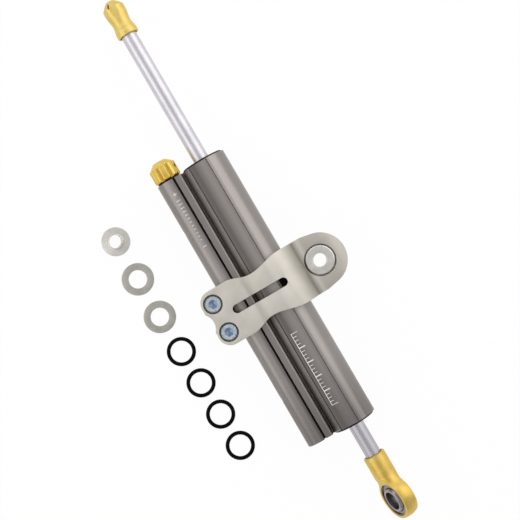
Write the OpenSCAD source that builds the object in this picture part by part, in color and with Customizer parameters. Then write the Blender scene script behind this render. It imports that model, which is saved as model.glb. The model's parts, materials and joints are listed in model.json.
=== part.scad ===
// Linear motorcycle steering damper with a through rod, a side adjuster tube,
// a frame clamp with a spherical bearing, and its loose fitting hardware.
// X runs along the rod towards the rod end, Y towards the clamp ear, Z up.
// The origin is the centre of the spherical bearing in the clamp ear.

/* [Damper body] */
// Outside diameter of the main cylinder
body_d = 29; // [27:0.5:34]
// Bore of the main cylinder
bore_d = 22; // [20:0.5:23]
// Length of the body from the clamp centre to the adjuster end
body_back = 88.5; // [80:0.5:110]
// Length of the body from the clamp centre to the rod end side
body_front = 96; // [85:0.5:115]
// Outside diameter of the side tube
tube_d = 17; // [16:0.5:19]
// Bore of the side tube
tube_bore_d = 10; // [9:0.5:11]
// Distance between the two bores
tube_spacing = 23.5; // [22.5:0.5:28]
// Height of the web that joins the two tubes
web_h = 8; // [6:0.5:10]
// Height of the raised strip beside the side tube, both faces together
strip_h = 15.8; // [14:0.2:16.5]
// Width of the raised strip
strip_w = 4.75; // [3.5:0.25:5.5]
// Distance from the side tube's axis to the near edge of the strip
strip_from_tube = 3.65; // [3:0.05:4.5]
// Width of the groove between the side tube and the strip
groove_w = 1.35; // [0.8:0.05:1.8]
// Depth of that groove below the strip
groove_deep = 1.9; // [1:0.1:2.5]
// Depth of the long flat on the main cylinder
flat_deep = 1.3; // [0.8:0.1:1.8]
// Tilt of that flat towards the side tube, in degrees
flat_tilt = 14.6; // [8:0.2:20]
// Width of the fine line along the edge of the flat
line_w = 0.6; // [0.4:0.05:1]
// Depth of that fine line
line_deep = 0.35; // [0.2:0.05:0.6]

/* [Rod and stroke] */
// Diameter of the rod
rod_d = 10; // [8:0.5:11]
// Full stroke of the rod
stroke = 108; // [90:1:112]
// Travel left towards the adjuster end in the photographed position
travel_back = 20.8; // [10:0.2:60]
// Clearance left outside between a rod fitting and a gland at full stroke
bump_gap = 2.3; // [1.5:0.1:4]
// Clearance left inside between the piston and a gland at full stroke
piston_stop_gap = 0.5; // [0.3:0.1:1]
// Length of the piston
piston_l = 14; // [10:0.5:18]
// Radial gap between the piston's lands and the bore
piston_land_gap = 0.4; // [0.2:0.05:0.6]
// Width of the piston's wear band
band_w = 6; // [4:0.5:8]
// Thickness of the wear band
band_t = 1.5; // [1:0.1:2]
// Thickness of the clips beside the piston
clip_t = 1; // [0.8:0.1:1.2]
// Depth of the clip grooves in the rod
clip_groove = 0.4; // [0.3:0.05:0.6]
// Length of thread that each rod fitting holds
rod_thread_l = 12; // [10:0.5:13]

/* [Glands] */
// Diameter of the gland flange against the end of the cylinder
gland_flange_d = 26.6; // [24.5:0.1:26.8]
// Thickness of that flange
gland_flange_t = 1; // [0.8:0.1:1.5]
// Diameter of the wiper
wiper_d = 15.2; // [13.5:0.1:16]
// Depth of the wiper's seat from the outer face
wiper_l = 4; // [3:0.1:4.5]
// Diameter of the rod seal and of the bush
seal_d = 16; // [14.5:0.1:17]
// Length of the rod seal
seal_l = 4.5; // [3.5:0.1:5.5]
// Wall between the wiper and the rod seal
seal_wall = 3; // [2:0.1:4]
// Thickness of the circlip that holds the bush
gland_clip_t = 1; // [0.8:0.1:1.2]
// Distance from the gland's inner end to the circlip
gland_clip_in = 1.2; // [1:0.1:2]
// Cord diameter of the gland O-ring
gland_cord_d = 1.78; // [1.5:0.02:2]
// Distance of that O-ring from the end of the cylinder
gland_cord_at = 16; // [12:0.5:20]

/* [End cap] */
// Length of the waisted cap on the free end of the rod
cap_l = 23.7; // [21:0.1:28]
// Diameter of its head
cap_head_d = 13.8; // [13:0.1:16]
// Diameter of its waist
cap_waist_d = 12; // [11.6:0.1:12.6]
// Diameter of its collar
cap_collar_d = 14; // [13:0.1:16]
// Diameter of the small flat tip
cap_tip_d = 5.6; // [4:0.1:7]
// Length of the sloping nose
cap_nose_l = 4.6; // [3:0.1:5.5]
// Distance across the two wrench flats
cap_flats = 12.6; // [12.4:0.1:13.6]
// Diameter of the tommy hole in the nose
cap_hole_d = 2.6; // [1.5:0.1:3]
// Depth of that hole
cap_hole_deep = 3; // [2:0.1:4]
// Turn of that hole about the rod from straight up, in degrees
cap_hole_turn = 43; // [0:1:90]

/* [Rod end] */
// Distance from the mouth of the rod end to its bearing centre
eye_reach = 30.6; // [28:0.1:36]
// Diameter of the ball-turned head
eye_d = 26.6; // [25.6:0.1:30]
// Width across the two flats of the head
eye_w = 8.6; // [8.5:0.1:9.6]
// Diameter of the shank
shank_d = 14.1; // [13.5:0.1:15.5]
// Radius of the blend from the shank to the head
neck_r = 12; // [8:0.5:14]
// Radius of the cutter that runs out of the flats
flat_runout_r = 8; // [6:0.5:10]
// Distance from the bearing centre to the start of that run-out
flat_reach = 10.7; // [9:0.1:12]
// Turn of the rod end about the rod from straight up, in degrees
eye_turn = 65; // [0:1:180]

/* [Rod end bearing] */
// Outside diameter of the race
eye_race_d = 22; // [20:0.1:22.4]
// Width of the race
eye_race_w = 7; // [6:0.1:7]
// Diameter of the ball
eye_ball_d = 18; // [17:0.1:18.4]
// Width of the ball
eye_ball_w = 10; // [9:0.1:10.5]
// Bore of the ball
eye_bore_d = 12; // [10:0.1:12.5]
// Thickness of the snap ring in the rod end
eye_ring_t = 0.5; // [0.4:0.05:0.55]
// Height of the lip behind the race, measured across the bore wall
eye_lip = 0.7; // [0.5:0.05:1]

/* [Frame clamp] */
// Width of the clamp along the body
clamp_w = 36.1; // [32:0.1:40]
// Distance from the rod's axis to the far edge beyond the screws
clamp_left = 45.4; // [44.5:0.1:50]
// Height of the screw lands above the rod's axis
clamp_land_h = 14.8; // [13.5:0.1:16]
// Height of the top of the clamp above the rod's axis
clamp_top_h = 19.4; // [18:0.1:22]
// Depth of the flat underside below the rod's axis
clamp_base_h = 19.4; // [18:0.1:22]
// Distance from the rod's axis to the end of the screw lands
slope_left = 17.6; // [16:0.1:19]
// Distance from the rod's axis to the bend in the slope above them
bend_at = 12.8; // [11:0.1:15]
// Height of that bend above the screw lands
bend_h = 1.8; // [1:0.1:2.5]
// Distance from the rod's axis to the crest, where the slope meets the rounded side
slope_right = 2.5; // [1:0.1:4]
// Radius of the rounded side that falls from the crest to the ear
crest_r = 20; // [19:0.1:21]
// Radius of the corner under the ear
shoulder_r = 8; // [5:0.1:8.2]
// Thickness of the wall beside the cylinder at the ear
ear_wall = 6.6; // [5:0.1:7.5]
// Radius of the fillet between that wall and the ear
ear_fillet_r = 4; // [3:0.1:5]
// Corner radius around the screws
clamp_corner_r = 7.8; // [5:0.1:9]
// Depth of the notch between the screw lobes
notch_deep = 2.3; // [1:0.1:3]
// Half the length of that notch
notch_half = 6; // [4:0.1:8]
// Depth of the waist in each side
waist_deep = 3.9; // [1:0.1:5]
// Distance from the rod's axis to the narrowest place, towards the screws
waist_at = 9.65; // [6:0.05:12]
// Length of the waist towards the screws
waist_left = 15.7; // [12:0.1:18]
// Length of the waist towards the ear
waist_right = 22.3; // [18:0.1:26]
// Width of the window in the upper jaw
window_w = 5.5; // [4.2:0.1:7]
// Distance from the rod's axis to the screw end of the window
window_left = 29.6; // [26:0.1:31]
// Distance from the rod's axis to the ear end of the window
window_right = 8.2; // [6:0.1:10]
// Gap between the jaws
jaw_gap = 2.4; // [1.5:0.1:4]
// Clearance between the clamp's bore and the body
clamp_fit = 0.1; // [0.05:0.01:0.2]

/* [Clamp screws] */
// Thread diameter of the clamp screws
screw_d = 6; // [5:0.5:6]
// Distance between the two screws
screw_spacing = 19.4; // [17:0.1:20]
// Distance from the side tube's axis to the screws
screw_from_tube = 14.7; // [14.4:0.1:16]
// Diameter of the screw heads
screw_head_d = 10; // [8.5:0.1:10]
// Height of the screw heads
screw_head_h = 6; // [4:0.1:6]
// Diameter of the counterbores
screw_sink_d = 11.4; // [10.6:0.1:11.8]
// Depth of the screw heads below the lands
screw_sink = 0.6; // [0.2:0.1:1]
// Length of the screws under the head
screw_l = 22; // [18:0.5:24]
// Width across flats of the sockets
screw_key = 5; // [4:0.1:5]
// Depth of the sockets
screw_key_deep = 3; // [2:0.1:3.5]

/* [Clamp ear and bearing] */
// Distance from the rod's axis to the bearing in the ear
rod_offset = 31.85; // [31.6:0.05:38]
// Radius of the ear's round end
ear_r = 16.9; // [15:0.1:17.5]
// Thickness of the ear
ear_t = 12.4; // [11.4:0.1:12.6]
// Distance from the ear's centre back to the corner of its arm
ear_arm = 4.35; // [3:0.05:5]
// Diameter of the pocket around the spacer's flange
pocket_d = 20; // [19.8:0.1:22]
// Height of the shoulder above the race
ear_shoulder = 0.5; // [0.4:0.05:0.8]
// Outside diameter of the race
ear_race_d = 19; // [18.6:0.1:20]
// Width of the race
ear_race_w = 6; // [5.5:0.1:6.2]
// Diameter of the ball
ear_ball_d = 16; // [15.4:0.1:16.4]
// Width of the ball
ear_ball_w = 9; // [8.6:0.1:9.4]
// Bore of the ball
ear_bore_d = 10; // [9.6:0.1:10.4]
// Thickness of the snap ring under the race
ear_ring_t = 0.9; // [0.7:0.05:1.1]

/* [Spacers, washers and O-rings] */
// Bore of the flanged spacers
spacer_bore_d = 8.4; // [7.5:0.1:8.6]
// Diameter of the spacer flange
spacer_flange_d = 18.5; // [17:0.1:18.5]
// Thickness of the spacer flange
spacer_flange_t = 2; // [1.5:0.1:2]
// Length of the spacer sleeve
spacer_sleeve_l = 8.9; // [7:0.1:9]
// Outside diameter of the loose washers
washer_d = 20.6; // [18:0.1:22]
// Hole of the loose washers
washer_hole_d = 11.6; // [10:0.1:13]
// Thickness of the loose washers
washer_t = 1; // [0.8:0.1:1.6]
// Cord diameter of the loose O-rings
seal_ring_cord = 2.45; // [1.8:0.05:3]
// Middle diameter of the loose O-rings
seal_ring_d = 16.05; // [14:0.05:18]
// Distance from the side tube's axis to the row of loose pieces
loose_row = 49.3; // [44:0.1:60]
// Step from the loose spacer to a washer, and to the next
loose_step = 27.5; // [23:0.1:32]
// Step between two loose O-rings
ring_step = 23.3; // [21:0.1:28]
// Drift of the O-rings towards the damper, for each one
ring_drift = 0.75; // [0:0.05:2]
// Place of the loose spacer along the row, from the clamp centre
loose_start = -74.4; // [-90:0.1:-60]

/* [Adjuster] */
// Diameter over the knob's lobes
knob_d = 17.1; // [16:0.1:19]
// Height of the knob
knob_h = 12.5; // [11:0.1:15]
// Diameter of the knob's top face
knob_top_d = 8.6; // [7.5:0.1:10]
// Height of the slope below the top face
knob_slope_h = 3.6; // [2:0.1:4.5]
// Number of flutes, one per click
knob_flutes = 8; // [8:4:12]
// Radius of a flute
flute_r = 1.2; // [0.9:0.1:1.3]
// Depth of a flute
flute_deep = 0.95; // [0.5:0.05:1.1]
// Diameter of the grub screw
grub_d = 3; // [2.5:0.1:3]
// Height of the grub screw above the knob's underside
grub_at = 5.6; // [4.5:0.1:6.5]
// Running gap under the knob
knob_gap = 0.3; // [0.2:0.05:0.5]
// Diameter of the adjuster housing's flange
housing_flange_d = 14.8; // [13.5:0.1:15.8]
// Thickness of that flange
housing_flange_t = 0.8; // [0.6:0.05:1.2]
// Length of the housing inside the tube
housing_l = 22; // [20.5:0.1:24]
// Diameter of the spindle
spindle_d = 5; // [4.6:0.1:5.4]
// Diameter of the spindle's collar
spindle_collar_d = 6.4; // [6:0.1:6.8]
// Distance from the tube's end to the collar
spindle_collar_at = 8.6; // [8:0.1:9.5]
// Length of the collar
spindle_collar_l = 2; // [1.5:0.1:2.4]
// Width of the square drive between spindle and needle
drive_w = 2.2; // [1.8:0.1:2.4]
// Diameter of the needle's threaded part
needle_thread_d = 4.4; // [4:0.1:4.8]
// Length of the needle's threaded part
needle_thread_l = 8; // [6:0.1:8.5]
// Diameter of the needle's stem
needle_d = 2.4; // [2:0.1:3]
// Thread pitch of the needle
needle_pitch = 0.75; // [0.5:0.05:1]
// Turns from the photographed setting to closed
turns_to_close = 1; // [0.5:0.125:1.5]
// Length of the needle's taper
needle_taper_l = 4; // [3:0.1:5]
// Orifice of the valve seat
orifice_d = 1.8; // [1.4:0.1:2]
// Length of the valve seat
seat_l = 5; // [4:0.1:7]
// Diameter of the detent ball
detent_ball_d = 2; // [1.6:0.1:2.2]
// Distance of the detent ball from the knob's axis
detent_at = 5.2; // [4.8:0.1:5.4]

/* [Reservoir] */
// Diameter of the cross ports between the two bores
port_d = 3; // [2:0.1:3.4]
// Distance of each cross port from the gland
port_in = 2.5; // [2:0.1:5]
// Diameter of the screws that close the ports outside
port_screw_d = 4.2; // [3.8:0.1:4.6]
// Length of the closing plug
plug_l = 8; // [6.5:0.1:9]
// Length of the floating piston
float_l = 7; // [6:0.1:7.5]
// Travel of the floating piston each way
float_travel = 3.5; // [2:0.1:3.5]
// Wire diameter of the reservoir spring
spring_wire = 0.9; // [0.7:0.05:1.1]
// Curls of the reservoir spring
spring_curls = 4; // [3:1:5]
// Wire diameter of the detent spring
detent_wire = 0.3; // [0.25:0.05:0.35]
// Curls of the detent spring
detent_curls = 5; // [4:1:5]

/* [Fits] */
// Radial gap of a running fit
run_fit = 0.03; // [0.02:0.005:0.06]
// Radial gap between a ball and its race
ball_fit = 0.05; // [0.03:0.005:0.08]
// Gap of a piece that is seated or screwed in place
seat_fit = 0.02; // [0.01:0.005:0.05]
// Depth of the broken edges
edge = 0.4; // [0.2:0.05:0.6]

/* [Hidden] */
$fn = 72;
over = 1;
arc_step = 6;

// Places along X, measured from the clamp centre
body_l = body_back + body_front;
chamber_l = stroke + piston_l + 2 * piston_stop_gap;
gland_l = (body_l - chamber_l) / 2;
chamber_back = -body_back + gland_l;
chamber_front = body_front - gland_l;
piston_at = chamber_back + piston_stop_gap + travel_back;
cap_mouth = -body_back - gland_flange_t - bump_gap - (stroke - travel_back);
eye_mouth = body_front + gland_flange_t + bump_gap + travel_back;
eye_at = eye_mouth + eye_reach;
rod_back = cap_mouth - rod_thread_l;
rod_front = eye_mouth + rod_thread_l;
port_back = chamber_back + port_in;
port_front = chamber_front - port_in;

// Radii that more than one piece shares
body_r = body_d / 2;
bore_r = bore_d / 2;
tube_r = tube_d / 2;
tube_bore_r = tube_bore_d / 2;
rod_r = rod_d / 2;
seal_r = seal_d / 2;
wiper_r = wiper_d / 2;
wall_r = body_r + ear_wall;
band_r = bore_r - run_fit;

// Seats and stations of the glands, measured inwards from the end of the cylinder
wiper_floor = wiper_l - gland_flange_t;
seal_from = wiper_floor + seal_wall;
seal_to = seal_from + seal_l;
bush_to = gland_l - gland_clip_in - gland_clip_t - seat_fit;

// Stations of the adjuster, measured inwards from the end of the side tube
knob_base = -housing_flange_t - knob_gap;
knob_top = knob_base - knob_h;
knob_roof = 2.5;
spindle_top = knob_top + knob_roof;
spindle_end = spindle_collar_at + spindle_collar_l;
drive_socket_l = 7;
drive_floor = spindle_end - drive_socket_l;
drive_end_gap = 1.5;
end_play = 0.4;
collar_fit = 0.08;
guide_from = spindle_end + end_play;
guide_r = spindle_collar_d / 2 + collar_fit;
closing = turns_to_close * needle_pitch;
needle_lead_in = 1;
needle_thread_from = guide_from + needle_lead_in;
needle_tip_r = 0.3;
seat_from_port = 2.8;
seat_from = port_back + port_d / 2 + seat_from_port;
taper_rate = (needle_d / 2 - needle_tip_r) / needle_taper_l;
taper_from = seat_from - closing - (needle_d / 2 - orifice_d / 2 + ball_fit) / taper_rate;
detent_turn = 202.5;
detent_hole_deep = 7;
detent_dimple = 0.3;
detent_ball_x = -housing_flange_t - detent_ball_d / 2 - ball_fit;
grub_turn = 67.5;
grub_below_flute = 0.8;

// Stations of the reservoir
plug_from = body_front - plug_l;
float_end_gap = 0.6;
float_from = port_front + port_d / 2 + float_travel + float_end_gap;
float_skirt_l = 2.4;
float_skirt_wall = 2;
spring_from = float_from + float_l + seat_fit;
spring_to = plug_from - seat_fit;

// O-ring cords of the adjuster and the reservoir, and the room of every cord in its groove
small_cord_d = 1.06;
groove_ratio = 1.3;
housing_cord_at = 5;
spindle_cord_d = 0.86;
spindle_cord_at = 0.6;
plug_cord_at = body_front - plug_l / 2;
float_cord_at = float_from + float_l / 2;

// Circlips, snap rings and their seats
gland_clip_seat = 0.6;
gland_clip_in_r = 1.2;
gland_clip_mouth = 4;
rod_clip_wall = 2;
rod_clip_mouth = rod_d - 2;
eye_ring_in_r = 0.75;
eye_ring_mouth = 1.6;
eye_ring_turn = 200;
ear_ring_seat = 0.55;
ear_ring_in_r = 1.3;
ear_ring_mouth = 5;
ear_lip = 0.4;

// Places around the clamp screws, and in the row of loose pieces
screw_seat = clamp_land_h - screw_sink - screw_head_h;
first_ring_step = 25.8;

// Paths of the two springs
rings_per_curl = 8;
wire_sides = 6;
detent_path = coil_path(
    detent_ball_d / 2 - detent_wire, knob_base - detent_hole_deep + detent_wire,
    detent_ball_x - detent_ball_d / 2 - detent_wire, detent_curls);
spring_path = coil_path(
    tube_bore_r - spring_wire, spring_from + spring_wire / 2, spring_to - spring_wire / 2,
    spring_curls);
echo(detent_spring_least_gap = least_gap(detent_path, detent_wire));
echo(reservoir_spring_least_gap = least_gap(spring_path, spring_wire));

// Turned pieces lie along X
module along_x(at = 0) {
    translate([at, 0, 0]) rotate([0, 90, 0]) children();
}

module bar(r, from, to) {
    along_x(from) cylinder(r = r, h = to - from);
}

module ring(r_in, r_out, from, to) {
    difference() {
        bar(r_out, from, to);
        bar(r_in, from - over, to + over);
    }
}

// A turned piece from pairs of radius and place
module turned(points) {
    along_x() rotate_extrude() polygon(points);
}

module o_ring_at(r_mid, cord_r, at) {
    along_x(at) rotate_extrude() translate([r_mid, 0]) circle(r = cord_r, $fn = 32);
}

// A groove for a cord, cut inwards from the radius that it seals against
module cord_groove(r, cord_d, at) {
    half = cord_d * groove_ratio / 2;
    ring(r - cord_d, r + over, at - half, at + half);
}

// Turns a piece end for end, so that one module makes both ends
module mirrored_end(front) {
    if (front) translate([body_front, 0, 0]) mirror([1, 0, 0]) children();
    else translate([-body_back, 0, 0]) children();
}

module both_ends() {
    mirrored_end(false) children();
    mirrored_end(true) children();
}

module on_rod_axis() {
    translate([0, -rod_offset, 0]) children();
}

module on_tube_axis() {
    translate([0, -rod_offset - tube_spacing, 0]) children();
}

// A shape drawn across the body, Y to the right and Z up, pushed along X
module across_x(from, to) {
    translate([from, 0, 0]) rotate([90, 0, 90]) linear_extrude(to - from) children();
}

module hex(af, h) {
    cylinder(d = af / cos(30), h = h, $fn = 6);
}

function arc(x, y, r, from, to) =
    let (n = max(2, ceil(abs(to - from) / arc_step)))
    [for (i = [0:n]) let (a = from + (to - from) * i / n) [x + r * cos(a), y + r * sin(a)]];

function flip_x(points) = [for (i = [len(points) - 1:-1:0]) [-points[i][0], points[i][1]]];

// Body extrusion, with its ports
module body_section() {
    strip_at = -tube_spacing + strip_from_tube;
    flat_half = sqrt(pow(body_r, 2) - pow(body_r - flat_deep, 2));
    difference() {
        union() {
            circle(r = body_r);
            translate([-tube_spacing, 0]) circle(r = tube_r);
            translate([-tube_spacing, -web_h / 2]) square([tube_spacing, web_h]);
            translate([strip_at, -strip_h / 2]) square([strip_w, strip_h]);
        }
        for (side = [0, 1]) mirror([0, side]) {
            translate([strip_at - groove_w, strip_h / 2 - groove_deep]) square([groove_w, body_r]);
            rotate(flat_tilt) {
                translate([-body_r, body_r - flat_deep]) square([2 * body_r, body_r]);
                translate([flat_half - line_w / 2, body_r - flat_deep - line_deep])
                    square([line_w, body_r]);
            }
        }
        circle(r = bore_r);
        translate([-tube_spacing, 0]) circle(r = tube_bore_r);
    }
}

module port_cut(at) {
    translate([at, -tube_spacing, 0]) rotate([-90, 0, 0]) {
        cylinder(d = port_d, h = tube_spacing);
        translate([0, 0, -tube_r - over]) cylinder(d = port_screw_d, h = tube_r + over);
    }
}

module cylinder_body() {
    color("#7c7875") on_rod_axis() difference() {
        across_x(-body_back, body_front) body_section();
        port_cut(port_back);
        port_cut(port_front);
    }
}

module port_screws() {
    color("#35363a") on_tube_axis() for (at = [port_back, port_front])
        translate([at, 0, 0]) rotate([90, 0, 0]) difference() {
            translate([0, 0, tube_bore_r + seat_fit])
                cylinder(d = port_screw_d - 2 * seat_fit, h = tube_r - tube_bore_r - edge);
            translate([0, 0, tube_r - port_screw_d / 2]) hex(port_screw_d / 2, port_screw_d);
        }
}

// Gland and its rod guide, seal and wiper, one set at each end
module gland() {
    clip_from = bush_to + seat_fit;
    difference() {
        turned([
            [rod_r + edge, seal_from],
            [rod_r + edge, wiper_floor],
            [wiper_r, wiper_floor],
            [wiper_r, -gland_flange_t],
            [gland_flange_d / 2 - edge / 2, -gland_flange_t],
            [gland_flange_d / 2, -gland_flange_t + edge / 2],
            [gland_flange_d / 2, -seat_fit],
            [bore_r - seat_fit, -seat_fit],
            [bore_r - seat_fit, gland_l],
            [seal_r, gland_l],
            [seal_r, seal_from]
        ]);
        cord_groove(bore_r - run_fit, gland_cord_d, gland_cord_at);
        ring(rod_r, seal_r + gland_clip_seat, clip_from, clip_from + gland_clip_t);
    }
}

module upper_gland() {
    color("#1d1d1f") on_rod_axis() mirrored_end(false) gland();
}

module lower_gland() {
    color("#1d1d1f") on_rod_axis() mirrored_end(true) gland();
}

module gland_o_rings() {
    color("#151515") on_rod_axis() both_ends()
        o_ring_at(bore_r - run_fit - gland_cord_d / 2, gland_cord_d / 2 - seat_fit / 2, gland_cord_at);
}

module rod_wipers() {
    lip = 0.8;
    color("#1a1a1a") on_rod_axis() both_ends() turned([
        [rod_r + run_fit, -gland_flange_t + edge],
        [rod_r + run_fit + lip, -gland_flange_t + edge],
        [rod_r + 2 * lip, -gland_flange_t + 2 * edge],
        [wiper_r - seat_fit, -gland_flange_t + 2 * edge],
        [wiper_r - seat_fit, wiper_floor - seat_fit],
        [rod_r + lip, wiper_floor - seat_fit],
        [rod_r + run_fit, wiper_floor - lip]
    ]);
}

module rod_seals() {
    lip = 1;
    color("#2c5d8a") on_rod_axis() both_ends() turned([
        [rod_r + run_fit, seal_from + lip],
        [rod_r + lip, seal_from + seat_fit],
        [seal_r - seat_fit, seal_from + seat_fit],
        [seal_r - seat_fit, seal_to],
        [seal_r - lip, seal_to],
        [(rod_r + seal_r) / 2, seal_to - 1.5 * lip],
        [rod_r + lip, seal_to],
        [rod_r + run_fit, seal_to - edge]
    ]);
}

module rod_bushes() {
    color("#9c6a3c") on_rod_axis() both_ends()
        ring(rod_r + run_fit, seal_r - seat_fit, seal_to + seat_fit, bush_to);
}

module gland_circlips() {
    mouth = gland_clip_mouth;
    in_r = seal_r - gland_clip_in_r;
    color("#3a3a3c") on_rod_axis() both_ends() difference() {
        ring(in_r, seal_r + gland_clip_seat - seat_fit, bush_to + 2 * seat_fit, bush_to + gland_clip_t);
        translate([bush_to - over, in_r - over, -mouth / 2])
            cube([2 * over + gland_clip_t, mouth, mouth]);
    }
}

// Rod, piston and what they carry
module damper_rod() {
    color("#d8d9dc") on_rod_axis() difference() {
        turned([
            [0, rod_back + seat_fit],
            [rod_r - edge, rod_back + seat_fit],
            [rod_r, rod_back + seat_fit + edge],
            [rod_r, rod_front - seat_fit - edge],
            [rod_r - edge, rod_front - seat_fit],
            [0, rod_front - seat_fit]
        ]);
        for (at = [piston_at - clip_t, piston_at + piston_l])
            ring(rod_r - clip_groove, rod_r + over, at, at + clip_t);
    }
}

module piston() {
    band_from = piston_at + (piston_l - band_w) / 2;
    color("#b9bbbd") on_rod_axis() difference() {
        ring(
            rod_r + seat_fit, bore_r - piston_land_gap,
            piston_at + seat_fit, piston_at + piston_l - seat_fit);
        ring(band_r - band_t - run_fit, bore_r + over, band_from, band_from + band_w);
    }
}

module piston_band() {
    band_from = piston_at + (piston_l - band_w) / 2;
    color("#33302d") on_rod_axis()
        ring(band_r - band_t, band_r, band_from + run_fit, band_from + band_w - run_fit);
}

module piston_clips() {
    out_r = rod_r + rod_clip_wall;
    mouth = rod_clip_mouth;
    color("#3a3a3c") on_rod_axis()
        for (at = [piston_at - clip_t, piston_at + piston_l]) difference() {
            ring(rod_r - clip_groove + seat_fit, out_r, at + seat_fit, at + clip_t - seat_fit);
            translate([at - over, 0, -mouth / 2]) cube([clip_t + 2 * over, out_r + over, mouth]);
        }
}

// Point at a share t of the way from a to b, its radius leaving and arriving softly
function soft_step(a, b, t) =
    [a[0] + (b[0] - a[0]) * (1 - cos(180 * t)) / 2, a[1] + (b[1] - a[1]) * t];

// Waisted cap on the free end of the rod
module end_cap() {
    tip = cap_mouth - cap_l;
    head_r = cap_head_d / 2;
    waist_r = cap_waist_d / 2;
    collar_r = cap_collar_d / 2;
    nose = tip + cap_nose_l;
    nose_r = (head_r + cap_tip_d / 2) / 2;
    head_from = nose + head_r / 2;
    waist_x = cap_mouth - 1.4 * waist_r;
    collar_from = cap_mouth - waist_r / 3;
    steps = 8;
    color("#d9b845") on_rod_axis() difference() {
        turned(concat(
            [[0, tip], [cap_tip_d / 2, tip], [nose_r + edge, tip + cap_nose_l / 2 - edge]],
            [[head_r, nose]],
            [for (i = [0:steps]) soft_step([head_r, head_from], [waist_r, waist_x], i / steps)],
            [for (i = [1:steps]) soft_step([waist_r, waist_x], [collar_r, collar_from], i / steps)],
            [[collar_r, cap_mouth - edge], [collar_r - edge, cap_mouth], [0, cap_mouth]]
        ));
        bar(rod_r + seat_fit, rod_back, cap_mouth + over);
        along_x(cap_mouth - edge)
            cylinder(r1 = rod_r + seat_fit, r2 = rod_r + 2 * edge, h = edge + seat_fit);
        for (side = [0, 1]) mirror([0, 0, side])
            translate([tip - over, -head_r - over, cap_flats / 2])
                cube([cap_l + 2 * over, 2 * (head_r + over), head_r]);
        translate([tip + cap_nose_l / 2, 0, 0]) rotate([cap_hole_turn, 0, 0]) rotate([0, -45, 0])
            translate([0, 0, nose_r * sqrt(2) / 2 + cap_nose_l / 2 - cap_hole_deep / 2])
                cylinder(d = cap_hole_d, h = cap_hole_deep + over);
    }
}

// Rod end: a shank that blends into a ball-turned head with two flats
module rod_end() {
    eye_r = eye_d / 2;
    shank_r = shank_d / 2;
    reach = sqrt(pow(eye_r + neck_r, 2) - pow(shank_r + neck_r, 2));
    neck_from = eye_at - reach;
    touch = atan2(shank_r + neck_r, reach);
    pocket_r = eye_race_d / 2 + seat_fit;
    ring_seat = eye_race_w / 2 + 2 * seat_fit;
    color("#d9b845") on_rod_axis() rotate([eye_turn, 0, 0]) difference() {
        turned(concat(
            [[0, eye_mouth], [shank_r - edge, eye_mouth], [shank_r, eye_mouth + edge]],
            [for (p = arc(neck_from, shank_r + neck_r, neck_r, -90, -touch)) [p[1], p[0]]],
            [for (p = arc(eye_at, 0, eye_r, 180 - touch - arc_step, 0)) [max(0, p[1]), p[0]]]
        ));
        for (side = [0, 1]) mirror([0, 0, side]) {
            translate([eye_at - flat_reach, -eye_r - over, eye_w / 2])
                cube([2 * eye_r + flat_reach, 2 * (eye_r + over), eye_r]);
            translate([eye_at - flat_reach, -eye_r - over, eye_w / 2 + flat_runout_r])
                rotate([-90, 0, 0]) cylinder(r = flat_runout_r, h = 2 * (eye_r + over));
        }
        bar(rod_r + seat_fit, eye_mouth - over, rod_front);
        along_x(eye_mouth - seat_fit)
            cylinder(r1 = rod_r + 2 * edge, r2 = rod_r + seat_fit, h = edge + seat_fit);
        translate([eye_at, 0, -eye_race_w / 2 - seat_fit]) cylinder(r = pocket_r, h = eye_w);
        translate([eye_at, 0, -eye_w]) cylinder(r = pocket_r - eye_lip, h = eye_w);
        translate([eye_at, 0, ring_seat]) cylinder(r = pocket_r + edge, h = eye_ring_t + seat_fit);
    }
}

// A spherical plain bearing lies about its own Z axis
module race(d, w, ball_d) {
    difference() {
        translate([0, 0, -w / 2]) cylinder(d = d, h = w);
        sphere(r = ball_d / 2 + ball_fit);
    }
}

module ball(d, w, hole_d) {
    difference() {
        sphere(d = d);
        for (side = [0, 1]) mirror([0, 0, side]) translate([-d, -d, w / 2]) cube([2 * d, 2 * d, d]);
        translate([0, 0, -d]) cylinder(d = hole_d, h = 2 * d);
    }
}

module snap_ring(r_in, r_out, t, gap_w) {
    difference() {
        cylinder(r = r_out, h = t);
        translate([0, 0, -over]) cylinder(r = r_in, h = t + 2 * over);
        translate([0, -gap_w / 2, -over]) cube([2 * r_out, gap_w, t + 2 * over]);
    }
}

module at_eye() {
    on_rod_axis() rotate([eye_turn, 0, 0]) translate([eye_at, 0, 0]) children();
}

module rod_end_race() {
    color("#6d6a66") at_eye() race(eye_race_d, eye_race_w, eye_ball_d);
}

module rod_end_snap_ring() {
    color("#161616") at_eye() translate([0, 0, eye_race_w / 2 + 3 * seat_fit])
        rotate(eye_ring_turn) snap_ring(
            eye_race_d / 2 - eye_ring_in_r, eye_race_d / 2 + edge / 2, eye_ring_t - seat_fit,
            eye_ring_mouth);
}

module rod_end_ball() {
    color("#8b8a8c") at_eye() ball(eye_ball_d, eye_ball_w, eye_bore_d);
}

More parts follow.
